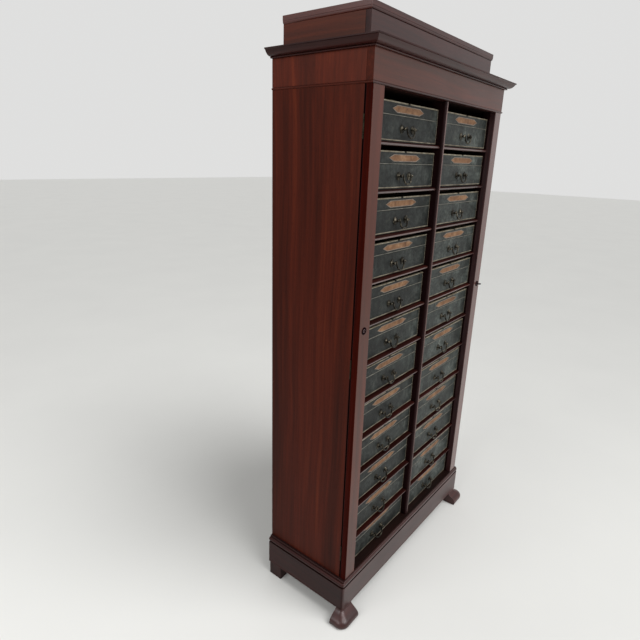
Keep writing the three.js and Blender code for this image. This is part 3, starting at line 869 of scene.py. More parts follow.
attic_inset = ATTIC_FACE - FACE + ATTIC_SETBACK
ceiling_x = SIDE_FACE - BOARD - FIT
cover_x = SIDE_FACE - CORNICE_INNER - FIT
cover_y = FACE + CORNICE_INNER + FIT
cover_low, cover_top = CORNICE_TOP - BOARD, CORNICE_TOP - HAIR
rim = attic_inset + RIM
ceiling_boards = [
    (
        (-ceiling_x, FACE + BOARD + FIT, OPENING_TOP),
        (ceiling_x, BACK - BOARD - FIT, OPENING_TOP + CEILING_THICKNESS),
        0,
    ),
    ((-cover_x, cover_y, cover_low), (cover_x, FACE + rim, cover_top), 0),
    ((-cover_x, BACK - RIM, cover_low), (cover_x, BACK, cover_top), 0),
]
for side, _ in SIDES:
    corner = (side * cover_x, FACE + rim + JOINT, cover_low)
    opposite = (side * (SIDE_FACE - rim), BACK - RIM - JOINT, cover_top)
    ceiling_boards.append((corner, opposite, 1))
ceiling = boards("ceiling_and_top_boards", ceiling_boards, [INNER_X, INNER_Y])
hand_over(ceiling, "carcass", "dark_mahogany")
print("Cornice", mm(CORNICE_HEIGHT), "mm high, reaching out", mm(CORNICE_REACH), "mm")

# %% Attic and its cap
ATTIC_WALL = 0.018
CAP_HEIGHT = 0.0215
CAP_REACH = 0.004
COVE_REACH = CAP_REACH * 0.8
COVE_HEIGHT = 0.0065
COVE_STEPS = 8
FILLET_BOTTOM = 0.0078
FILLET_TOP = 0.0082

attic_side = SIDE_FACE - attic_inset
attic_front = FACE + attic_inset
attic_top = TOP - CAP_HEIGHT
attic_woods = [DARK_X, ATTIC_Y]
attic = four_boards(
    "attic_box", attic_side, attic_front, ATTIC_WALL, CORNICE_TOP, attic_top, attic_woods
)
hand_over(polish_front(attic, DARK_POLISHED), "carcass", "mahogany", "attic")

cove = [
    (COVE_REACH * math.sin(a), attic_top + COVE_HEIGHT * (1 - math.cos(a)))
    for a in [i / COVE_STEPS * math.pi / 2 for i in range(COVE_STEPS + 1)]
]
cap_outline = same([
    *cove,
    (COVE_REACH, attic_top + FILLET_BOTTOM),
    (CAP_REACH, attic_top + FILLET_TOP),
    (CAP_REACH, TOP),
    (-ATTIC_WALL, TOP),
    (-ATTIC_WALL, attic_top),
])
cap = moulding("attic_cap", cap_outline, attic_side, attic_front, [CAP_Y, DARK_POLISHED])
hand_over(soften(cap, width=0.0008), "carcass", "mahogany")
lid_x = attic_side - ATTIC_WALL - FIT
lid_corner = (-lid_x, attic_front + ATTIC_WALL + FIT, TOP - ATTIC_WALL)
lid_opposite = (lid_x, BACK, TOP - 2 * HAIR)
top_board = boards("attic_top_board", [(lid_corner, lid_opposite, 0)], [DARK_X])
hand_over(top_board, "carcass", "mahogany")
print("Attic", mm(TOP - CORNICE_TOP), "mm high, set back", mm(attic_inset), "mm")

# %% [markdown]
# ## Sides and locking stiles
#
# A side is one tall board with a post behind the stile. The stile is hinged where the two meet, and
# both have a rounded arris there, which leaves the dark line with the hinge knuckles in it. Each is
# a plan outline drawn up in height. The stile's lock room and keyhole are cut with Boolean
# modifiers, because they cross the board at right angles to that outline. The faces in the groove,
# the stiles' sides and backs and the faces inside the cabinet get darker tones as painted shade.

# %% Upright pieces
POST_DEPTH = 0.028
SIDE_THICKNESS = 0.020
STILE_THICKNESS = 0.022
STILE_CLEARANCE = 0.0006
STILE_CORNER = 0.007
HIDDEN_ARRIS = 0.0008
GROOVE_ARRIS = 0.0035
REAR_ARRIS = 0.0012
POST_FILLET = 0.0004
INWARD = -0.9
PARTLY_FORWARD = -0.2


def rounded_plan(corners, steps=5):
    """A closed plan whose corners are (x, y, radius), given anticlockwise."""
    plan = []
    count = len(corners)
    for i, (x, y, radius) in enumerate(corners):
        here = Vector((x, y))
        back = (Vector(corners[i - 1][:2]) - here).normalized()
        ahead = (Vector(corners[(i + 1) % count][:2]) - here).normalized()
        start = here + back * radius
        end = here + ahead * radius
        for step in range(steps + 1):
            t = step / steps
            plan.append(tuple((1 - t) ** 2 * start + 2 * t * (1 - t) * here + t**2 * end))
    return plan


def upright(name, plan, bottom, top, materials, mirror=1):
    """Draws a plan up from bottom to top, for the right side or mirrored for the left."""
    rings = [[(mirror * x, y, z) for x, y in plan] for z in (bottom, top)]
    return lofted(name, rings, materials)


post_back = PANEL_FRONT + POST_DEPTH
panel_inner = SIDE_FACE - SIDE_THICKNESS
side_plan = rounded_plan([
    (STILE_INNER, PANEL_FRONT, HIDDEN_ARRIS),
    (SIDE_FACE, PANEL_FRONT, GROOVE_ARRIS),
    (SIDE_FACE, BACK, REAR_ARRIS),
    (panel_inner, BACK, HIDDEN_ARRIS),
    (panel_inner, post_back, POST_FILLET),
    (STILE_INNER, post_back, HIDDEN_ARRIS),
])
for mirror, word in SIDES:
    panel = settle(upright("side_panel_" + word, side_plan, PLINTH_TOP, PANEL_TOP, [RED_Z], mirror))
    # Painted shade: faces that look into the cabinet get plum tones, and the faces in the groove
    # behind the stile get a darker plum.
    refinish(panel, PLUM, lambda face: mirror * face.normal.x < INWARD)
    refinish(panel, GROOVE_SHADE, lambda face: face.normal.y < PARTLY_FORWARD)
    hand_over(panel, "carcass", "mahogany", "side_" + word)
print("Sides", mm(PANEL_TOP - PLINTH_TOP), "mm high")

# %% Locking stiles
KEY_RADIUS = 0.0028
KEYHOLE = 0.0032
LOCK_ROOM = 0.0095
LOCK_PLATE = 0.008
PAST_FACE = 0.01
INNER_ARRIS = 0.0022
HINGE_ARRIS = 0.0050
BACKWARD = 0.3
LOCK_X = (KEY_LOW.x + KEY_HIGH.x) / 2
LOCK_Z = KEY_HIGH.z - KEY_RADIUS


def drill(piece, radius, x, z, y0, y1, sides=32):
    """Cuts a round hole along Y into a piece."""
    bm = bmesh.new()
    place = Matrix.Translation((x, (y0 + y1) / 2, z)) @ Matrix.Rotation(math.pi / 2, 4, "X")
    size = {"radius1": radius, "radius2": radius, "depth": y1 - y0}
    bmesh.ops.create_cone(bm, cap_ends=True, segments=sides, matrix=place, **size)
    tool = as_piece("drill", bm, [])
    hole = piece.modifiers.new("hole", "BOOLEAN")
    hole.operation = "DIFFERENCE"
    hole.object = tool
    settle(piece)
    bpy.data.objects.remove(tool)


stile_back = FACE + STILE_THICKNESS
stile_bottom = PLINTH_TOP + STILE_CLEARANCE
stile_top = OPENING_TOP - STILE_CLEARANCE
stile_plan = rounded_plan([
    (STILE_INNER, FACE, INNER_ARRIS),
    (SIDE_FACE, FACE, STILE_CORNER),
    (SIDE_FACE, stile_back, HINGE_ARRIS),
    (STILE_INNER, stile_back, HIDDEN_ARRIS),
])
for mirror, word in SIDES:
    name = "locking_stile_" + word
    stile = upright(name, stile_plan, stile_bottom, stile_top, [RED_Z], mirror)
    hole_back = stile_back + PAST_FACE
    drill(stile, KEYHOLE, mirror * LOCK_X, LOCK_Z, FACE - PAST_FACE, hole_back)
    drill(stile, LOCK_ROOM, mirror * LOCK_X, LOCK_Z, FACE + LOCK_PLATE, hole_back)
    polish_front(stile, POLISHED_Z if mirror < 0 else BRIGHT_Z)
    # Painted shade: the outer side gets deep red, and the inner side and the back get plum tones.
    refinish(
        stile,
        DEEP_RED,
        lambda face: FORWARD <= face.normal.y < BACKWARD and mirror * face.normal.x > 0,
    )
    refinish(stile, REVEAL, lambda face: mirror * face.normal.x < INWARD)
    refinish(stile, PLUM, lambda face: face.normal.y > BACKWARD)
    hand_over(stile, "stile_" + word, "mahogany", "lock_stile_" + word)
print("Keyholes at a height of", mm(LOCK_Z), "mm")

# %% [markdown]
# ## Shelves and divider
#
# Eleven shelves cross the cabinet, all alike and evenly spaced, so Geometry Nodes repeats one shelf
# up a line of points. The shelf is a dull dark board with a half-round front edge; its dark tones
# are painted shade. The lower part of that edge is glossy and has pale tones as a painted
# highlight, so it is a strip of its own, repeated in the same way. The divider stands a little
# proud of the shelves. Its front is worked into two round beads. The divider's plum is painted
# shade, and the right bead carries a painted highlight.


# %% Trees that repeat a part
def new_tree(name, inputs):
    """A Geometry Nodes tree with geometry in and out, and named inputs (name, kind, value)."""
    tree = bpy.data.node_groups.new(name, "GeometryNodeTree")
    tree.interface.new_socket("Geometry", in_out="INPUT", socket_type="NodeSocketGeometry")
    tree.interface.new_socket("Geometry", in_out="OUTPUT", socket_type="NodeSocketGeometry")
    for label, kind, value in [*inputs, ("Finish", "Material", None)]:
        socket = tree.interface.new_socket(label, in_out="INPUT", socket_type="NodeSocket" + kind)
        if value is not None:
            socket.default_value = value
    return tree, node(tree, "NodeGroupInput").outputs


def run_tree(piece, tree, **values):
    """Puts a tree on a piece, with a value for each named input."""
    modifier = piece.modifiers.new(tree.name, "NODES")
    modifier.node_group = tree
    for item in tree.interface.items_tree:
        if item.in_out == "INPUT" and item.name in values:
            modifier[item.identifier] = values[item.name]
    return piece


def copies(tree, points, part):
    """Puts a part on every point."""
    inputs = {"Points": points, "Instance": part}
    return node(tree, "GeometryNodeInstanceOnPoints", inputs).outputs[0]


def close_tree(tree, given, geometry):
    """Ends a tree: copies become plain mesh, and all of it gets the finish that was asked for."""
    real = node(tree, "GeometryNodeRealizeInstances", {"Geometry": geometry}).outputs[0]
    inputs = {"Geometry": real, "Material": given["Finish"]}
    coated = node(tree, "GeometryNodeSetMaterial", inputs).outputs[0]
    node(tree, "NodeGroupOutput", {"Geometry": coated})
    return tree


def repeating_tree(name, axis, inputs=(), part=None):
    """Repeats the incoming geometry, or a part made inside the tree, along one axis."""
    tree, given = new_tree(name, [("Count", "Int", 2), ("Pitch", "Float", 0.1), *inputs])
    offset = node(tree, "ShaderNodeCombineXYZ", {axis: given["Pitch"]}).outputs[0]
    inputs = {"Count": given["Count"], "Offset": offset}
    line = node(tree, "GeometryNodeMeshLine", inputs).outputs[0]
    repeated = part(tree, given) if part else given["Geometry"]
    return close_tree(tree, given, copies(tree, line, repeated))


# %% Shelves
SHELF_THICKNESS = 0.0105
SHELF_RECESS = 0.018
NOSE_RADIUS = 0.005
NOSE_STEPS = 8
HIGHLIGHT_FROM = 10

seats = [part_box("carton_left_%02d" % (ROWS - row))[0].z for row in range(ROWS)]
first_shelf = seats[1] - FIT
pitch = seats[2] - seats[1]
nose_y = FACE + SHELF_RECESS
nose_back = nose_y + NOSE_RADIUS
nose = [
    (nose_y + NOSE_RADIUS + y, z)
    for y, z in [
        *arc((0, NOSE_RADIUS - SHELF_THICKNESS), NOSE_RADIUS, 270, 180, NOSE_STEPS),
        *arc((0, -NOSE_RADIUS), NOSE_RADIUS, 180, 90, NOSE_STEPS),
    ]
]
shelf_x = STILE_INNER - FIT
shelf_back = BACK_LOW.y - FIT
shelf_tree = repeating_tree("stack of shelves", "Z")


def drawn_across(name, section, finish):
    """Draws a section of (y, height from the shelf's top) across the cabinet, at each shelf."""
    rings = [[(x, y, first_shelf + z) for y, z in section] for x in (-shelf_x, shelf_x)]
    piece = lofted(name, rings, [finish])
    return settle(run_tree(piece, shelf_tree, Count=ROWS - 1, Pitch=pitch, Finish=finish))


# The board takes the nose's upper part in its dark tones, a painted shade, and the lower part is a
# strip with pale tones, a painted highlight.
shaded_top = nose[HIGHLIGHT_FROM:]
polished = nose[:HIGHLIGHT_FROM + 1]
highlight_top = polished[-1][1]
board_section = [
    *shaded_top,
    (shelf_back, 0),
    (shelf_back, -SHELF_THICKNESS),
    (nose_back + HAIR, -SHELF_THICKNESS),
    (nose_back + HAIR, highlight_top),
]
nosing_section = [*polished, (nose_back, highlight_top - HAIR)]
shelves = drawn_across("shelves", board_section, SHELF_X)
hand_over(shelves, "carcass", "inner_wood", "shelf_rack")
hand_over(drawn_across("shelf_nosings", nosing_section, NOSING_HIGHLIGHT_X), "carcass", "inner_wood")
print("Shelves:", ROWS - 1, "at a pitch of", mm(pitch), "mm")

# %% Divider
DIVIDER_THICKNESS = 0.023
DIVIDER_RECESS = 0.010
ROUND_STEPS = 18
BEAD_FRONT = -0.72

half_divider = DIVIDER_THICKNESS / 2
bead_radius = half_divider / 2
bead_y = FACE + DIVIDER_RECESS + bead_radius
divider_plan = [
    *arc((bead_radius, bead_y), bead_radius, 0, -180, ROUND_STEPS),
    *arc((-bead_radius, bead_y), bead_radius, 0, -180, ROUND_STEPS),
    (-half_divider, shelf_back),
    (half_divider, shelf_back),
]
# The divider's plum is painted shade, and the forward faces of its right bead get a painted
# highlight.
divider = settle(upright("divider", divider_plan[::-1], PLINTH_TOP, OPENING_TOP - FIT, [PLUM]))
refinish(divider, BEAD_HIGHLIGHT_Z, lambda face: face.normal.y < BEAD_FRONT and face.center.x > 0)
hand_over(divider, "carcass", "inner_wood")
print("Divider", mm(DIVIDER_THICKNESS), "mm thick")

# %% [markdown]
# ## Back
#
# The back is closed with upright planks. Geometry Nodes lays equal planks side by side along a
# line, with a narrow gap between them, which gives the shadow lines of a boarded back. The back
# stood to the wall, so it is bare wood that has darkened with age.

# %% Planks
PLANKS = 7
PLANK_GAP = 0.0012

plank_pitch = (BACK_HIGH.x - BACK_LOW.x + PLANK_GAP) / PLANKS
plank_corner = (BACK_LOW.x + plank_pitch - PLANK_GAP, BACK_HIGH.y, BACK_HIGH.z)
planks = boards("back_planks", [(BACK_LOW, plank_corner, 0)], [BACK_WOOD], arris=0.0015)
plank_tree = repeating_tree("row of planks", "X")
settle(run_tree(planks, plank_tree, Count=PLANKS, Pitch=plank_pitch, Finish=BACK_WOOD))
hand_over(planks, "carcass", "inner_wood", "back_panel")
print("Planks:", PLANKS, "each", mm(plank_pitch - PLANK_GAP), "mm wide")

# %% [markdown]
# ## File boxes
#
# A box is thin board covered with leather. Its front has a fixed lower panel and an upper flap,
# with a pale line where they meet, and worn pale edges along its top and bottom. A front that is
# perfectly flat looks like plastic, so each panel is a grid whose edges fall away in a small round
# and whose middle rises and sinks a little with a smooth noise. The noise is taken at the box's own
# place in the cabinet, so no two fronts are alike.

# %% A leather panel
FRONT_THICKNESS = 0.009
EDGE_ROUND = 0.0016
SWELL = 0.00035
SWELL_STARTS = 0.01
SWELLS_PER_METRE = 14.0
PANEL_COLUMNS = 36
PANEL_CELL = 0.006
FEWEST_ROWS = 6
EDGE_SWELL = 0.6


def eased(low, high, share):
    """A place between low and high, with the steps closer together at both ends."""
    return low + (high - low) * (0.5 - 0.5 * math.cos(math.pi * share))


def add_panel(bm, origin, x0, x1, z0, z1, front):
    """A leather-covered panel whose front face is a soft grid. front is along Y."""
    columns, rows = PANEL_COLUMNS, max(int((z1 - z0) / PANEL_CELL), FEWEST_ROWS)
    grid = []
    for row in range(rows + 1):
        z = eased(z0, z1, row / rows)
        line = []
        for column in range(columns + 1):
            x = eased(x0, x1, column / columns)
            edge = min(x - x0, x1 - x, z - z0, z1 - z)
            drop = max(EDGE_ROUND - edge, 0)
            fall = EDGE_ROUND - math.sqrt(max(EDGE_ROUND**2 - drop**2, 0))
            wave = noise.noise((origin + Vector((x, 0, z))) * SWELLS_PER_METRE)
            inside = min(edge / SWELL_STARTS, 1)
            at_edge = SWELL * (EDGE_SWELL + EDGE_SWELL * wave) * (1 - inside)
            y = front + fall + at_edge + SWELL * (0.5 - 0.5 * wave) * inside
            line.append(bm.verts.new(origin + Vector((x, y, z))))
        grid.append(line)
    for under, over in zip(grid, grid[1:]):
        for i in range(columns):
            bm.faces.new([under[i], under[i + 1], over[i + 1], over[i]])
    border = grid[0][:] + [line[-1] for line in grid[1:]] + grid[-1][-2::-1]
    border += [line[0] for line in grid[-2:0:-1]]
    rear = [bm.verts.new((v.co.x, origin.y + FRONT_THICKNESS, v.co.z)) for v in border]
    for i in range(len(border)):
        j = (i + 1) % len(border)
        bm.faces.new([border[j], border[i], rear[i], rear[j]])
    bm.faces.new(rear)


# %% [markdown]
# The worn edges are slim half-round bars. Their radius wanders a little along their length, which
# breaks the highlight as real rubbed leather does.

# %% Worn edges and lines
BAR_ANGLES = (0, 25, 50, 75, 105, 130, 155, 180)
BAR_WANDER = 0.22
WANDERS_PER_METRE = 55.0
BAR_ROOT = Vector((0, 0.002, 0))


def add_edge_bar(bm, origin, start, end, radius, depth, material, steps=48):
    """A half-round bar between two points of the front, standing a little proud of it."""
    start, end = Vector(start), Vector(end)
    across = (end - start).normalized().cross(Vector((0, 1, 0)))
    rings = []
    for step in range(steps + 1):
        middle = start.lerp(end, step / steps)
        change = 1 + BAR_WANDER * noise.noise((origin + middle) * WANDERS_PER_METRE)
        reach = across * radius * change
        ring = []
        for angle in BAR_ANGLES:
            turned = math.radians(angle)
            out = Vector((0, -math.sin(turned) * depth * change, 0))
            ring.append(bm.verts.new(origin + middle + reach * math.cos(turned) + out))
        for sign in (-1, 1):
            ring.append(bm.verts.new(origin + middle + reach * sign + BAR_ROOT))
        rings.append(ring)
    skin(bm, rings, material)


# %% One box
CARTON_DEPTH = 0.312
EDGE_HEIGHT = 0.0040
FOOT_GAP = 0.0028
FLAP_SHARE = 0.335
LINE_HEIGHT = 0.0022
SIDE_LINE = 0.0011
BODY_INSET = 0.0015
BODY_WALL = 0.004
BODY_DROP = 0.004
PAPER = 0.0004
NOTCH_WIDTH = 0.013
PANEL_FACE = 0.0006
LINE_FACE, LINE_DEPTH = 0.0010, 0.0006
EDGE_FACE, EDGE_DEPTH = 0.0012, 0.0012
FOOT_BAR_DEPTH = 0.0010
SIDE_LINE_DEPTH = 0.0004
SIDE_LINE_STEPS = 24
BASE_FACE = 0.0042
EDGE_LAP = 0.6
STRIP_DROP = 0.0004
STRIP_LAP = 0.001
LINING_DROP = 0.002
LEATHER_SLOT, EDGE_SLOT, LINE_SLOT, LINING_SLOT, FOOT_SLOT = range(5)

carton_low, carton_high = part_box("carton_left_01")
CARTON_WIDTH = carton_high.x - carton_low.x
CARTON_HEIGHT = carton_high.z - carton_low.z
print("Box fronts", mm(CARTON_WIDTH), "by", mm(CARTON_HEIGHT), "mm")


def file_box(label):
    """The leather box of one place in the cabinet, and the middle of its front's foot."""
    low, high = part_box("carton_" + label)
    origin = Vector(((low.x + high.x) / 2, high.y - CARTON_DEPTH, low.z))
    half = CARTON_WIDTH / 2
    bar = EDGE_HEIGHT / 2
    gap = LINE_HEIGHT / 2
    notch = NOTCH_WIDTH / 2
    foot_z = FOOT_GAP + bar
    line_z = CARTON_HEIGHT * (1 - FLAP_SHARE)
    edge_z = CARTON_HEIGHT - bar
    bm = bmesh.new()

    def block(one, other, material=LEATHER_SLOT):
        add_box(bm, origin + Vector(one), origin + Vector(other), material)

    def edge(x0, x1, z, y, radius, depth, material):
        add_edge_bar(bm, origin, (x0, y, z), (x1, y, z), radius, depth, material)

    lower = FOOT_GAP + EDGE_HEIGHT * EDGE_LAP
    upper = CARTON_HEIGHT - EDGE_HEIGHT * EDGE_LAP
    add_panel(bm, origin, -half, half, lower, line_z - gap, PANEL_FACE)
    add_panel(bm, origin, -half, half, line_z + gap, upper, PANEL_FACE)
    beside_notch = ((-half, -notch), (notch, half))
    for x0, x1 in beside_notch:
        edge(x0, x1, edge_z, EDGE_FACE, bar, EDGE_DEPTH, EDGE_SLOT)
    edge(-half, half, foot_z, EDGE_FACE, bar, FOOT_BAR_DEPTH, FOOT_SLOT)
    edge(-half, half, line_z, LINE_FACE, gap, LINE_DEPTH, LINE_SLOT)
    for side, _ in SIDES:
        x = side * (half - SIDE_LINE - 2 * HAIR)
        start, end = (x, LINE_FACE, foot_z + bar), (x, LINE_FACE, CARTON_HEIGHT - 2 * bar)
        shape = (SIDE_LINE, SIDE_LINE_DEPTH, EDGE_SLOT, SIDE_LINE_STEPS)
        add_edge_bar(bm, origin, start, end, *shape)
    for x0, x1 in beside_notch:
        strip_low = (x0, EDGE_FACE, CARTON_HEIGHT - 2 * bar - STRIP_LAP)
        block(strip_low, (x1, FRONT_THICKNESS, CARTON_HEIGHT - STRIP_DROP), EDGE_SLOT)
    block((-half, EDGE_FACE, FOOT_GAP), (half, FRONT_THICKNESS, foot_z + bar), FOOT_SLOT)
    base = half - FOOT_GAP
    block((-base, BASE_FACE, 0), (base, FRONT_THICKNESS, FOOT_GAP - HAIR))
    wall_x = half - BODY_INSET
    inner = wall_x - BODY_WALL + PAPER
    top, rear = CARTON_HEIGHT - BODY_DROP, CARTON_DEPTH - BODY_WALL
    for side, _ in SIDES:
        block((side * wall_x, FRONT_THICKNESS, 0), (side * inner, CARTON_DEPTH, top))
        paper_low = (side * inner, FRONT_THICKNESS, BODY_WALL)
        paper_high = (side * (wall_x - BODY_WALL), rear, top - LINING_DROP)
        block(paper_low, paper_high, LINING_SLOT)
    block((-inner, rear, 0), (inner, CARTON_DEPTH, top))
    block((-inner, FRONT_THICKNESS, 0), (inner, rear, BODY_WALL - PAPER))
    paper_low = (-inner, FRONT_THICKNESS, BODY_WALL - PAPER)
    block(paper_low, (inner, rear, BODY_WALL), LINING_SLOT)
    materials = [LEATHER, WORN_EDGE, GILT_LINE, LINING, RUBBED_FOOT]
    return settle(as_piece("file_box_" + label, bm, materials)), origin


# %% [markdown]
# The label is a long tan hexagon of thin leather, with a paler border that stands a little proud.
# It has so few corners that its faces are written out in mesh code.

# %% Labels
LABEL_LENGTH = 0.190
LABEL_HEIGHT = 0.0208
LABEL_POINT = 0.027
LABEL_BELOW_TOP = 0.0200
LABEL_THICKNESS = 0.0005
LABEL_BED = 0.0002
LABEL_ROOT = 0.0008
LABEL_FACE = 0.0004
BORDER = 0.0022
POINT_BORDERS = 3.2
NECK_BORDERS = 0.6


def hexagon(length, height, point):
    """A long hexagon with its ends pointed, anticlockwise from its right end."""
    half, tall = length / 2, height / 2
    neck = half - point
    return [(half, 0), (neck, tall), (-neck, tall), (-half, 0), (-neck, -tall), (neck, -tall)]


def label_piece(label, origin):
    """The label of one box, a border round a middle that lies a little lower."""
    bm = bmesh.new()
    centre = origin + Vector((0, LABEL_FACE, CARTON_HEIGHT - LABEL_BELOW_TOP))
    outer = hexagon(LABEL_LENGTH, LABEL_HEIGHT, LABEL_POINT)
    inner = hexagon(
        LABEL_LENGTH - POINT_BORDERS * BORDER,
        LABEL_HEIGHT - 2 * BORDER,
        LABEL_POINT - NECK_BORDERS * BORDER,
    )
    front, ridge, bed, rear = [
        [bm.verts.new(centre + Vector((x, y, z))) for x, z in plan]
        for plan, y in (
            (outer, -LABEL_THICKNESS),
            (inner, -LABEL_THICKNESS),
            (inner, -LABEL_THICKNESS + LABEL_BED),
            (outer, LABEL_ROOT),
        )
    ]
    for i in range(6):
        j = (i + 1) % 6
        bm.faces.new([front[i], front[j], ridge[j], ridge[i]]).material_index = 1
        bm.faces.new([ridge[i], ridge[j], bed[j], bed[i]]).material_index = 1
        bm.faces.new([front[j], front[i], rear[i], rear[j]]).material_index = 1
    bm.faces.new(bed)
    bm.faces.new(rear).material_index = 1
    return settle(as_piece("label_" + label, bm, [LABEL_TAN, LABEL_BORDER]))


# %% [markdown]
# ## Handles
#
# Each handle is a swan-neck bail: a bent brass bar whose ends turn in two posts, with a hump beside
# each post and a deep loop between them. The bar is a line of points that Geometry Nodes turns into
# a tube, thickest in the loop and thin at the necks. The posts stand on round rosettes. A rosette
# is a turned form, so it is a lathe outline spun in mesh code, and Geometry Nodes sets its ring of
# beads.

# %% The bail's line and its tube
POST_SPAN = 0.033
PIVOT_REACH = 0.010
PIVOT_HEIGHT = 0.038
BAIL_DROP = 0.024
BAIL_FORWARD = 0.006
WIRE = 0.0026
BELLY = 0.3
BELLY_FOCUS = 3.0
NECK = 0.92
BAIL_SHARES = [
    (1.04, 0, 0), (0.92, 0, 0), (0.83, 0.0, 0.03), (0.765, 0.03, 0.14), (0.70, 0.1, 0.24),
    (0.655, 0.2, 0.12), (0.685, 0.45, -0.22), (0.62, 0.72, -0.6), (0.38, 0.93, -0.93),
    (0.0, 1.0, -1.02),
]


def bail_tree():
    """Turns a line into a tube that swells towards its middle."""
    tree, given = new_tree("bail tube", [("Wire", "Float", WIRE), ("Belly", "Float", BELLY)])
    along = node(tree, "GeometryNodeSplineParameter").outputs["Factor"]
    wave = maths(tree, "SINE", maths(tree, "MULTIPLY", along, math.pi))
    belly = maths(tree, "MULTIPLY", maths(tree, "POWER", wave, BELLY_FOCUS), given["Belly"])
    radius = maths(tree, "MULTIPLY", maths(tree, "ADD", belly, NECK), given["Wire"])
    line = node(
        tree, "GeometryNodeSetCurveRadius", {"Curve": given["Geometry"], "Radius": radius}
    )
    circle = node(tree, "GeometryNodeCurvePrimitiveCircle", {"Resolution": 14, "Radius": 1.0})
    tube = node(tree, "GeometryNodeCurveToMesh", {
        "Curve": line.outputs[0],
        "Profile Curve": circle.outputs[0],
        "Scale": node(tree, "GeometryNodeInputRadius").outputs[0],
        "Fill Caps": True,
    })
    return close_tree(tree, given, tube.outputs[0])


def bail_master():
    """The bail round its own axis, made once."""
    right = [
        Vector((POST_SPAN * across, -BAIL_FORWARD * forward, BAIL_DROP * up))
        for across, forward, up in BAIL_SHARES
    ]
    points = right + [Vector((-p.x, p.y, p.z)) for p in reversed(right[:-1])]
    curve = bpy.data.curves.new("bail line", "CURVE")
    curve.dimensions = "3D"
    spline = curve.splines.new("NURBS")
    spline.points.add(len(points) - 1)
    for point, place in zip(spline.points, points):
        point.co = (*place, 1)
    spline.order_u = 4
    spline.use_endpoint_u = True
    spline.resolution_u = 6
    line = link(bpy.data.objects.new("bail line", curve))
    run_tree(line, bail_tree(), Wire=WIRE, Belly=BELLY, Finish=BRASS)
    graph = bpy.context.evaluated_depsgraph_get()
    mesh = bpy.data.meshes.new_from_object(line.evaluated_get(graph), depsgraph=graph)
    bpy.data.objects.remove(line)
    mesh.shade_smooth()
    return mesh


# %% Posts and rosettes
ROSETTE_RADIUS = 0.0125
BEADS = 18
BEAD_RADIUS = 0.0009
BEAD_OUT = 0.0014
RIM_SHARES = [
    (0, 0.0), (0.96, 0.0), (1.0, 0.0005), (0.97, 0.0012), (0.86, 0.0016),
    (0.74, 0.0012), (0.62, 0.0016), (0.48, 0.0030),
]
POST_OUTLINE = [(0.0036, 0.0045), (0.0030, 0.0062), (0.0034, 0.0078)]
KNOB_RADIUS = 0.0047
KNOB_DEPTH = 0.0049
KNOB_FROM, KNOB_TO = 42, 180
KNOB_STEPS = 10
RING_SHARE = 0.88


def spun(name, outline, material, sides=32):
    """Spins an outline of (radius, distance in front) round the Y axis into a closed piece."""
    bm = bmesh.new()
    angles = [2 * math.pi * i / sides for i in range(sides)]
    rings = []
    for radius, out in outline:
        ring = [(radius * math.cos(a), -out, radius * math.sin(a)) for a in angles]
        rings.append([bm.verts.new(place) for place in (ring if radius else ring[:1])])
    for before, after in zip(rings, rings[1:]):
        for i in range(sides):
            j = (i + 1) % sides
            corners = [before[i % len(before)], before[j % len(before)]]
            corners += [after[j % len(after)], after[i % len(after)]]
            corners = list(dict.fromkeys(corners))
            if len(corners) > 2:
                bm.faces.new(corners)
    return settle(as_piece(name, bm, [material]))


def bead_tree():
    """Adds a ring of small beads in front of the incoming piece, in the plane across Y."""
    tree, given = new_tree("ring of beads", [
        ("Count", "Int", BEADS), ("Ring", "Float", ROSETTE_RADIUS),
        ("Bead", "Float", BEAD_RADIUS), ("Out", "Float", BEAD_OUT),
    ])
    circle = {"Vertices": given["Count"], "Radius": given["Ring"]}
    circle = node(tree, "GeometryNodeMeshCircle", circle).outputs[0]
    out = maths(tree, "MULTIPLY", given["Out"], -1.0)
    move = node(tree, "ShaderNodeCombineXYZ", {"Y": out}).outputs[0]
    ring = {"Geometry": circle, "Translation": move, "Rotation": (math.pi / 2, 0, 0)}
    ring = node(tree, "GeometryNodeTransform", ring).outputs[0]
    bead = {"Radius": given["Bead"], "Subdivisions": 2}
    bead = node(tree, "GeometryNodeMeshIcoSphere", bead).outputs[0]
    joined = node(tree, "GeometryNodeJoinGeometry")
    tree.links.new(given["Geometry"], joined.inputs[0])
    tree.links.new(copies(tree, ring, bead), joined.inputs[0])
    return close_tree(tree, given, joined.outputs[0])


def rosette_master():
    """A rosette with its post, round the point where the post meets the leather."""
    turns = [KNOB_FROM + (KNOB_TO - KNOB_FROM) * i / KNOB_STEPS for i in range(KNOB_STEPS + 1)]
    knob = [
        (KNOB_RADIUS * math.sin(t), PIVOT_REACH - KNOB_DEPTH * math.cos(t))
        for t in map(math.radians, turns)
    ]
    outline = [(ROSETTE_RADIUS * share, out) for share, out in RIM_SHARES]
    outline += [*POST_OUTLINE, *knob[:-1], (0, knob[-1][1])]
    rosette = spun("rosette", outline, BRASS)
    ring = ROSETTE_RADIUS * RING_SHARE
    values = {"Count": BEADS, "Ring": ring, "Bead": BEAD_RADIUS, "Out": BEAD_OUT}
    settle(run_tree(rosette, bead_tree(), Finish=BRASS, **values))
    mesh = rosette.data
    bpy.data.objects.remove(rosette)
    return mesh


# %% Dress every box
bail_mesh = bail_master()
rosette_mesh = rosette_master()


def placed(mesh, place):
    """A copy of a mesh with its place in its points."""
    copy = mesh.copy()
    copy.transform(Matrix.Translation(place))
    return copy


def joined_posts(label, origin):
    """Both posts of a box as one piece."""
    bm = bmesh.new()
    for side, _ in SIDES:
        mesh = placed(rosette_mesh, origin + Vector((side * POST_SPAN, PANEL_FACE, PIVOT_HEIGHT)))
        bm.from_mesh(mesh)
        bpy.data.meshes.remove(mesh)
    return settle(as_piece("bail_posts_" + label, bm, [BRASS]))


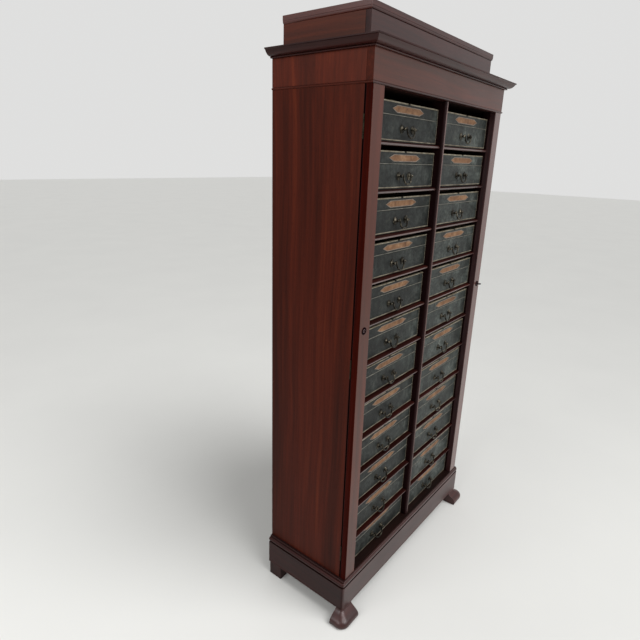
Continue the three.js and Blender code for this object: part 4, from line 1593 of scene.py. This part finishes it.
for _, column in SIDES:
    for number in range(1, ROWS + 1):
        label = "%s_%02d" % (column, number)
        body = "carton_" + label
        box_piece, origin = file_box(label)
        hand_over(box_piece, body, "carton_leather", "carton_" + label)
        hand_over(label_piece(label, origin), body, "carton_leather")
        hand_over(joined_posts(label, origin), body, "aged_brass")
        pivot = origin + Vector((0, -PIVOT_REACH, PIVOT_HEIGHT))
        bail = link(bpy.data.objects.new("bail_bar_" + label, placed(bail_mesh, pivot)))
        hand_over(bail, "bail_" + label, "aged_brass", "bail_" + label)
print("Dressed", 2 * ROWS, "boxes")

# %% [markdown]
# ## Lock and hinges
#
# Each stile has a round dark escutcheon with a keyhole, the right one with its key in it. Three
# hinges carry each stile. Their knuckles stand in the groove between stile and side, and Geometry
# Nodes stacks them, because a knuckle is the same short cylinder each time.

# %% Escutcheons
PLATE_RADIUS = 0.0118
PLATE_THICKNESS = 0.0014
PLATE_HOLE = 0.0036
RUBBED_SHARE = 0.46
HOLE_RISE = 0.9
PLATE_SIDES = 48
PLATE_SHARES = [
    (1.0, 0.0), (1.0, 0.5), (0.95, 1.0), (0.84, 1.0), (0.78, 0.45), (0.45, 0.5),
    (0.38, HOLE_RISE),
]


def escutcheon(word, mirror):
    """The round plate round a keyhole, with a raised rim and a rubbed middle."""
    name = "escutcheon_" + word
    outline = [(PLATE_RADIUS * across, PLATE_THICKNESS * out) for across, out in PLATE_SHARES]
    inner = [(PLATE_HOLE, PLATE_THICKNESS * HOLE_RISE), (PLATE_HOLE, 0.0)]
    plate = spun(name, [(PLATE_HOLE, 0.0), *outline, *inner], RING_DARK, PLATE_SIDES)
    bm = bmesh.new()
    bm.from_mesh(plate.data)
    bmesh.ops.remove_doubles(bm, verts=bm.verts, dist=MERGE_WITHIN)
    bmesh.ops.translate(bm, verts=bm.verts, vec=(mirror * LOCK_X, FACE, LOCK_Z))
    bpy.data.objects.remove(plate)
    for face in bm.faces:
        spot = face.calc_center_median()
        if math.hypot(spot.x - mirror * LOCK_X, spot.z - LOCK_Z) < PLATE_RADIUS * RUBBED_SHARE:
            face.material_index = 1
    return settle(as_piece(name, bm, [RING_DARK, RING_LIGHT]))


for mirror, word in SIDES:
    hand_over(escutcheon(word, mirror), "stile_" + word, "iron")
print("Escutcheons", mm(2 * PLATE_RADIUS), "mm across")

# %% [markdown]
# The key is a round shank with a collar, a flat oval bow and a bit. The bow is a ring of small
# round section, made by sweeping a circle round an ellipse.

# %% Key
SHANK = 0.0026
SHANK_REACH = 0.006
SHANK_SIDES = 24
COLLAR = SHANK + 0.0009
COLLAR_OUTLINE = [
    (SHANK, -0.003), (COLLAR, -0.0025), (COLLAR, -0.001), (SHANK, -0.0005),
    (SHANK * 0.8, 0.0008), (0, 0.001),
]
BOW_LENGTH = 0.015
BOW_WIDTH = 0.021
BOW_RIM = 0.0019
BOW_FLATNESS = 0.82
BOW_LAP = 0.002
BOW_STEPS = 48
BOW_SIDES = 10
BIT_HALF = 0.0012
BIT_LENGTH = 0.006
BIT_REACH = 0.005


def key_piece():
    """The key in the right stile's lock."""
    bm = bmesh.new()
    tip = KEY_HIGH.y - FACE
    shank_outline = [(0, -tip), (SHANK, -tip), (SHANK, 0.0)]
    shank_outline += [(radius, SHANK_REACH + past) for radius, past in COLLAR_OUTLINE]
    shank = spun("key shank", shank_outline, IRON, SHANK_SIDES)
    bm.from_mesh(shank.data)
    bpy.data.objects.remove(shank)
    centre_out = SHANK_REACH + BOW_LENGTH / 2 - BOW_LAP
    rings = []
    for i in range(BOW_STEPS):
        angle = 2 * math.pi * i / BOW_STEPS
        x = (BOW_WIDTH / 2 - BOW_RIM) * math.cos(angle)
        y = -centre_out + (BOW_LENGTH / 2 - BOW_RIM) * math.sin(angle)
        outward = Vector((math.cos(angle), math.sin(angle), 0)).normalized()
        ring = []
        for k in range(BOW_SIDES):
            turned = 2 * math.pi * k / BOW_SIDES
            flat = Vector((0, 0, BOW_RIM * BOW_FLATNESS * math.sin(turned)))
            place = Vector((x, y, 0)) + outward * BOW_RIM * math.cos(turned) + flat
            ring.append(bm.verts.new(place))
        rings.append(ring)
    skin(bm, rings + rings[:1], ends=False)
    add_box(bm, (-BIT_HALF, tip - BIT_LENGTH, -(SHANK + BIT_REACH)), (BIT_HALF, tip, 0))
    bmesh.ops.translate(bm, verts=bm.verts, vec=(LOCK_X, FACE, LOCK_Z))
    return settle(as_piece("key_with_oval_bow", bm, [IRON]))


hand_over(key_piece(), "key", "iron", "lock_key")
print("Key reaches", mm(SHANK_REACH + BOW_LENGTH - BOW_LAP), "mm out of the stile")

# %% Hinges
HINGE_SHARES = (0.065, 0.5, 0.935)
HINGE_LENGTH = 0.062
KNUCKLES = 5
KNUCKLE_RADIUS = 0.0025
KNUCKLE_SIDES = 20
KNUCKLE_STEP = HINGE_LENGTH / KNUCKLES


def knuckle(tree, given):
    """A short cylinder."""
    size = {"Vertices": KNUCKLE_SIDES, "Radius": given["Radius"], "Depth": given["Length"]}
    return node(tree, "GeometryNodeMeshCylinder", size).outputs[0]


knuckle_inputs = [("Length", "Float", KNUCKLE_STEP), ("Radius", "Float", KNUCKLE_RADIUS)]
knuckle_tree = repeating_tree("hinge knuckles", "Z", knuckle_inputs, knuckle)


def knuckles(name, x, y, z, count):
    """Every second knuckle of one hinge, from height z up. The piece starts as one lone point,
    which the tree leaves out."""
    bm = bmesh.new()
    bm.verts.new((0, 0, 0))
    piece = as_piece(name, bm, [DULL_SHADED_BRASS])
    size = {"Pitch": 2 * KNUCKLE_STEP, "Length": KNUCKLE_STEP - FIT, "Radius": KNUCKLE_RADIUS}
    settle(run_tree(piece, knuckle_tree, Count=count, Finish=DULL_SHADED_BRASS, **size))
    piece.data.transform(Matrix.Translation((x, y, z + KNUCKLE_STEP / 2)))
    return piece


hinge_y = (stile_back + PANEL_FRONT) / 2
opening_height = OPENING_TOP - (PLINTH_TOP - FIT)
for mirror, word in SIDES:
    for number, share in enumerate(HINGE_SHARES, 1):
        name = "hinge_%s_%d_" % (word, number)
        bottom = PLINTH_TOP + opening_height * share - HINGE_LENGTH / 2
        x, above = mirror * SIDE_FACE, bottom + KNUCKLE_STEP
        moving = knuckles(name + "moving", x, hinge_y, bottom, (KNUCKLES + 1) // 2)
        hand_over(moving, "stile_" + word, "aged_brass")
        fixed = knuckles(name + "fixed", x, hinge_y, above, KNUCKLES // 2)
        hand_over(fixed, "carcass", "aged_brass")
print("Hinges:", len(HINGE_SHARES), "on each stile, with", KNUCKLES, "knuckles each")
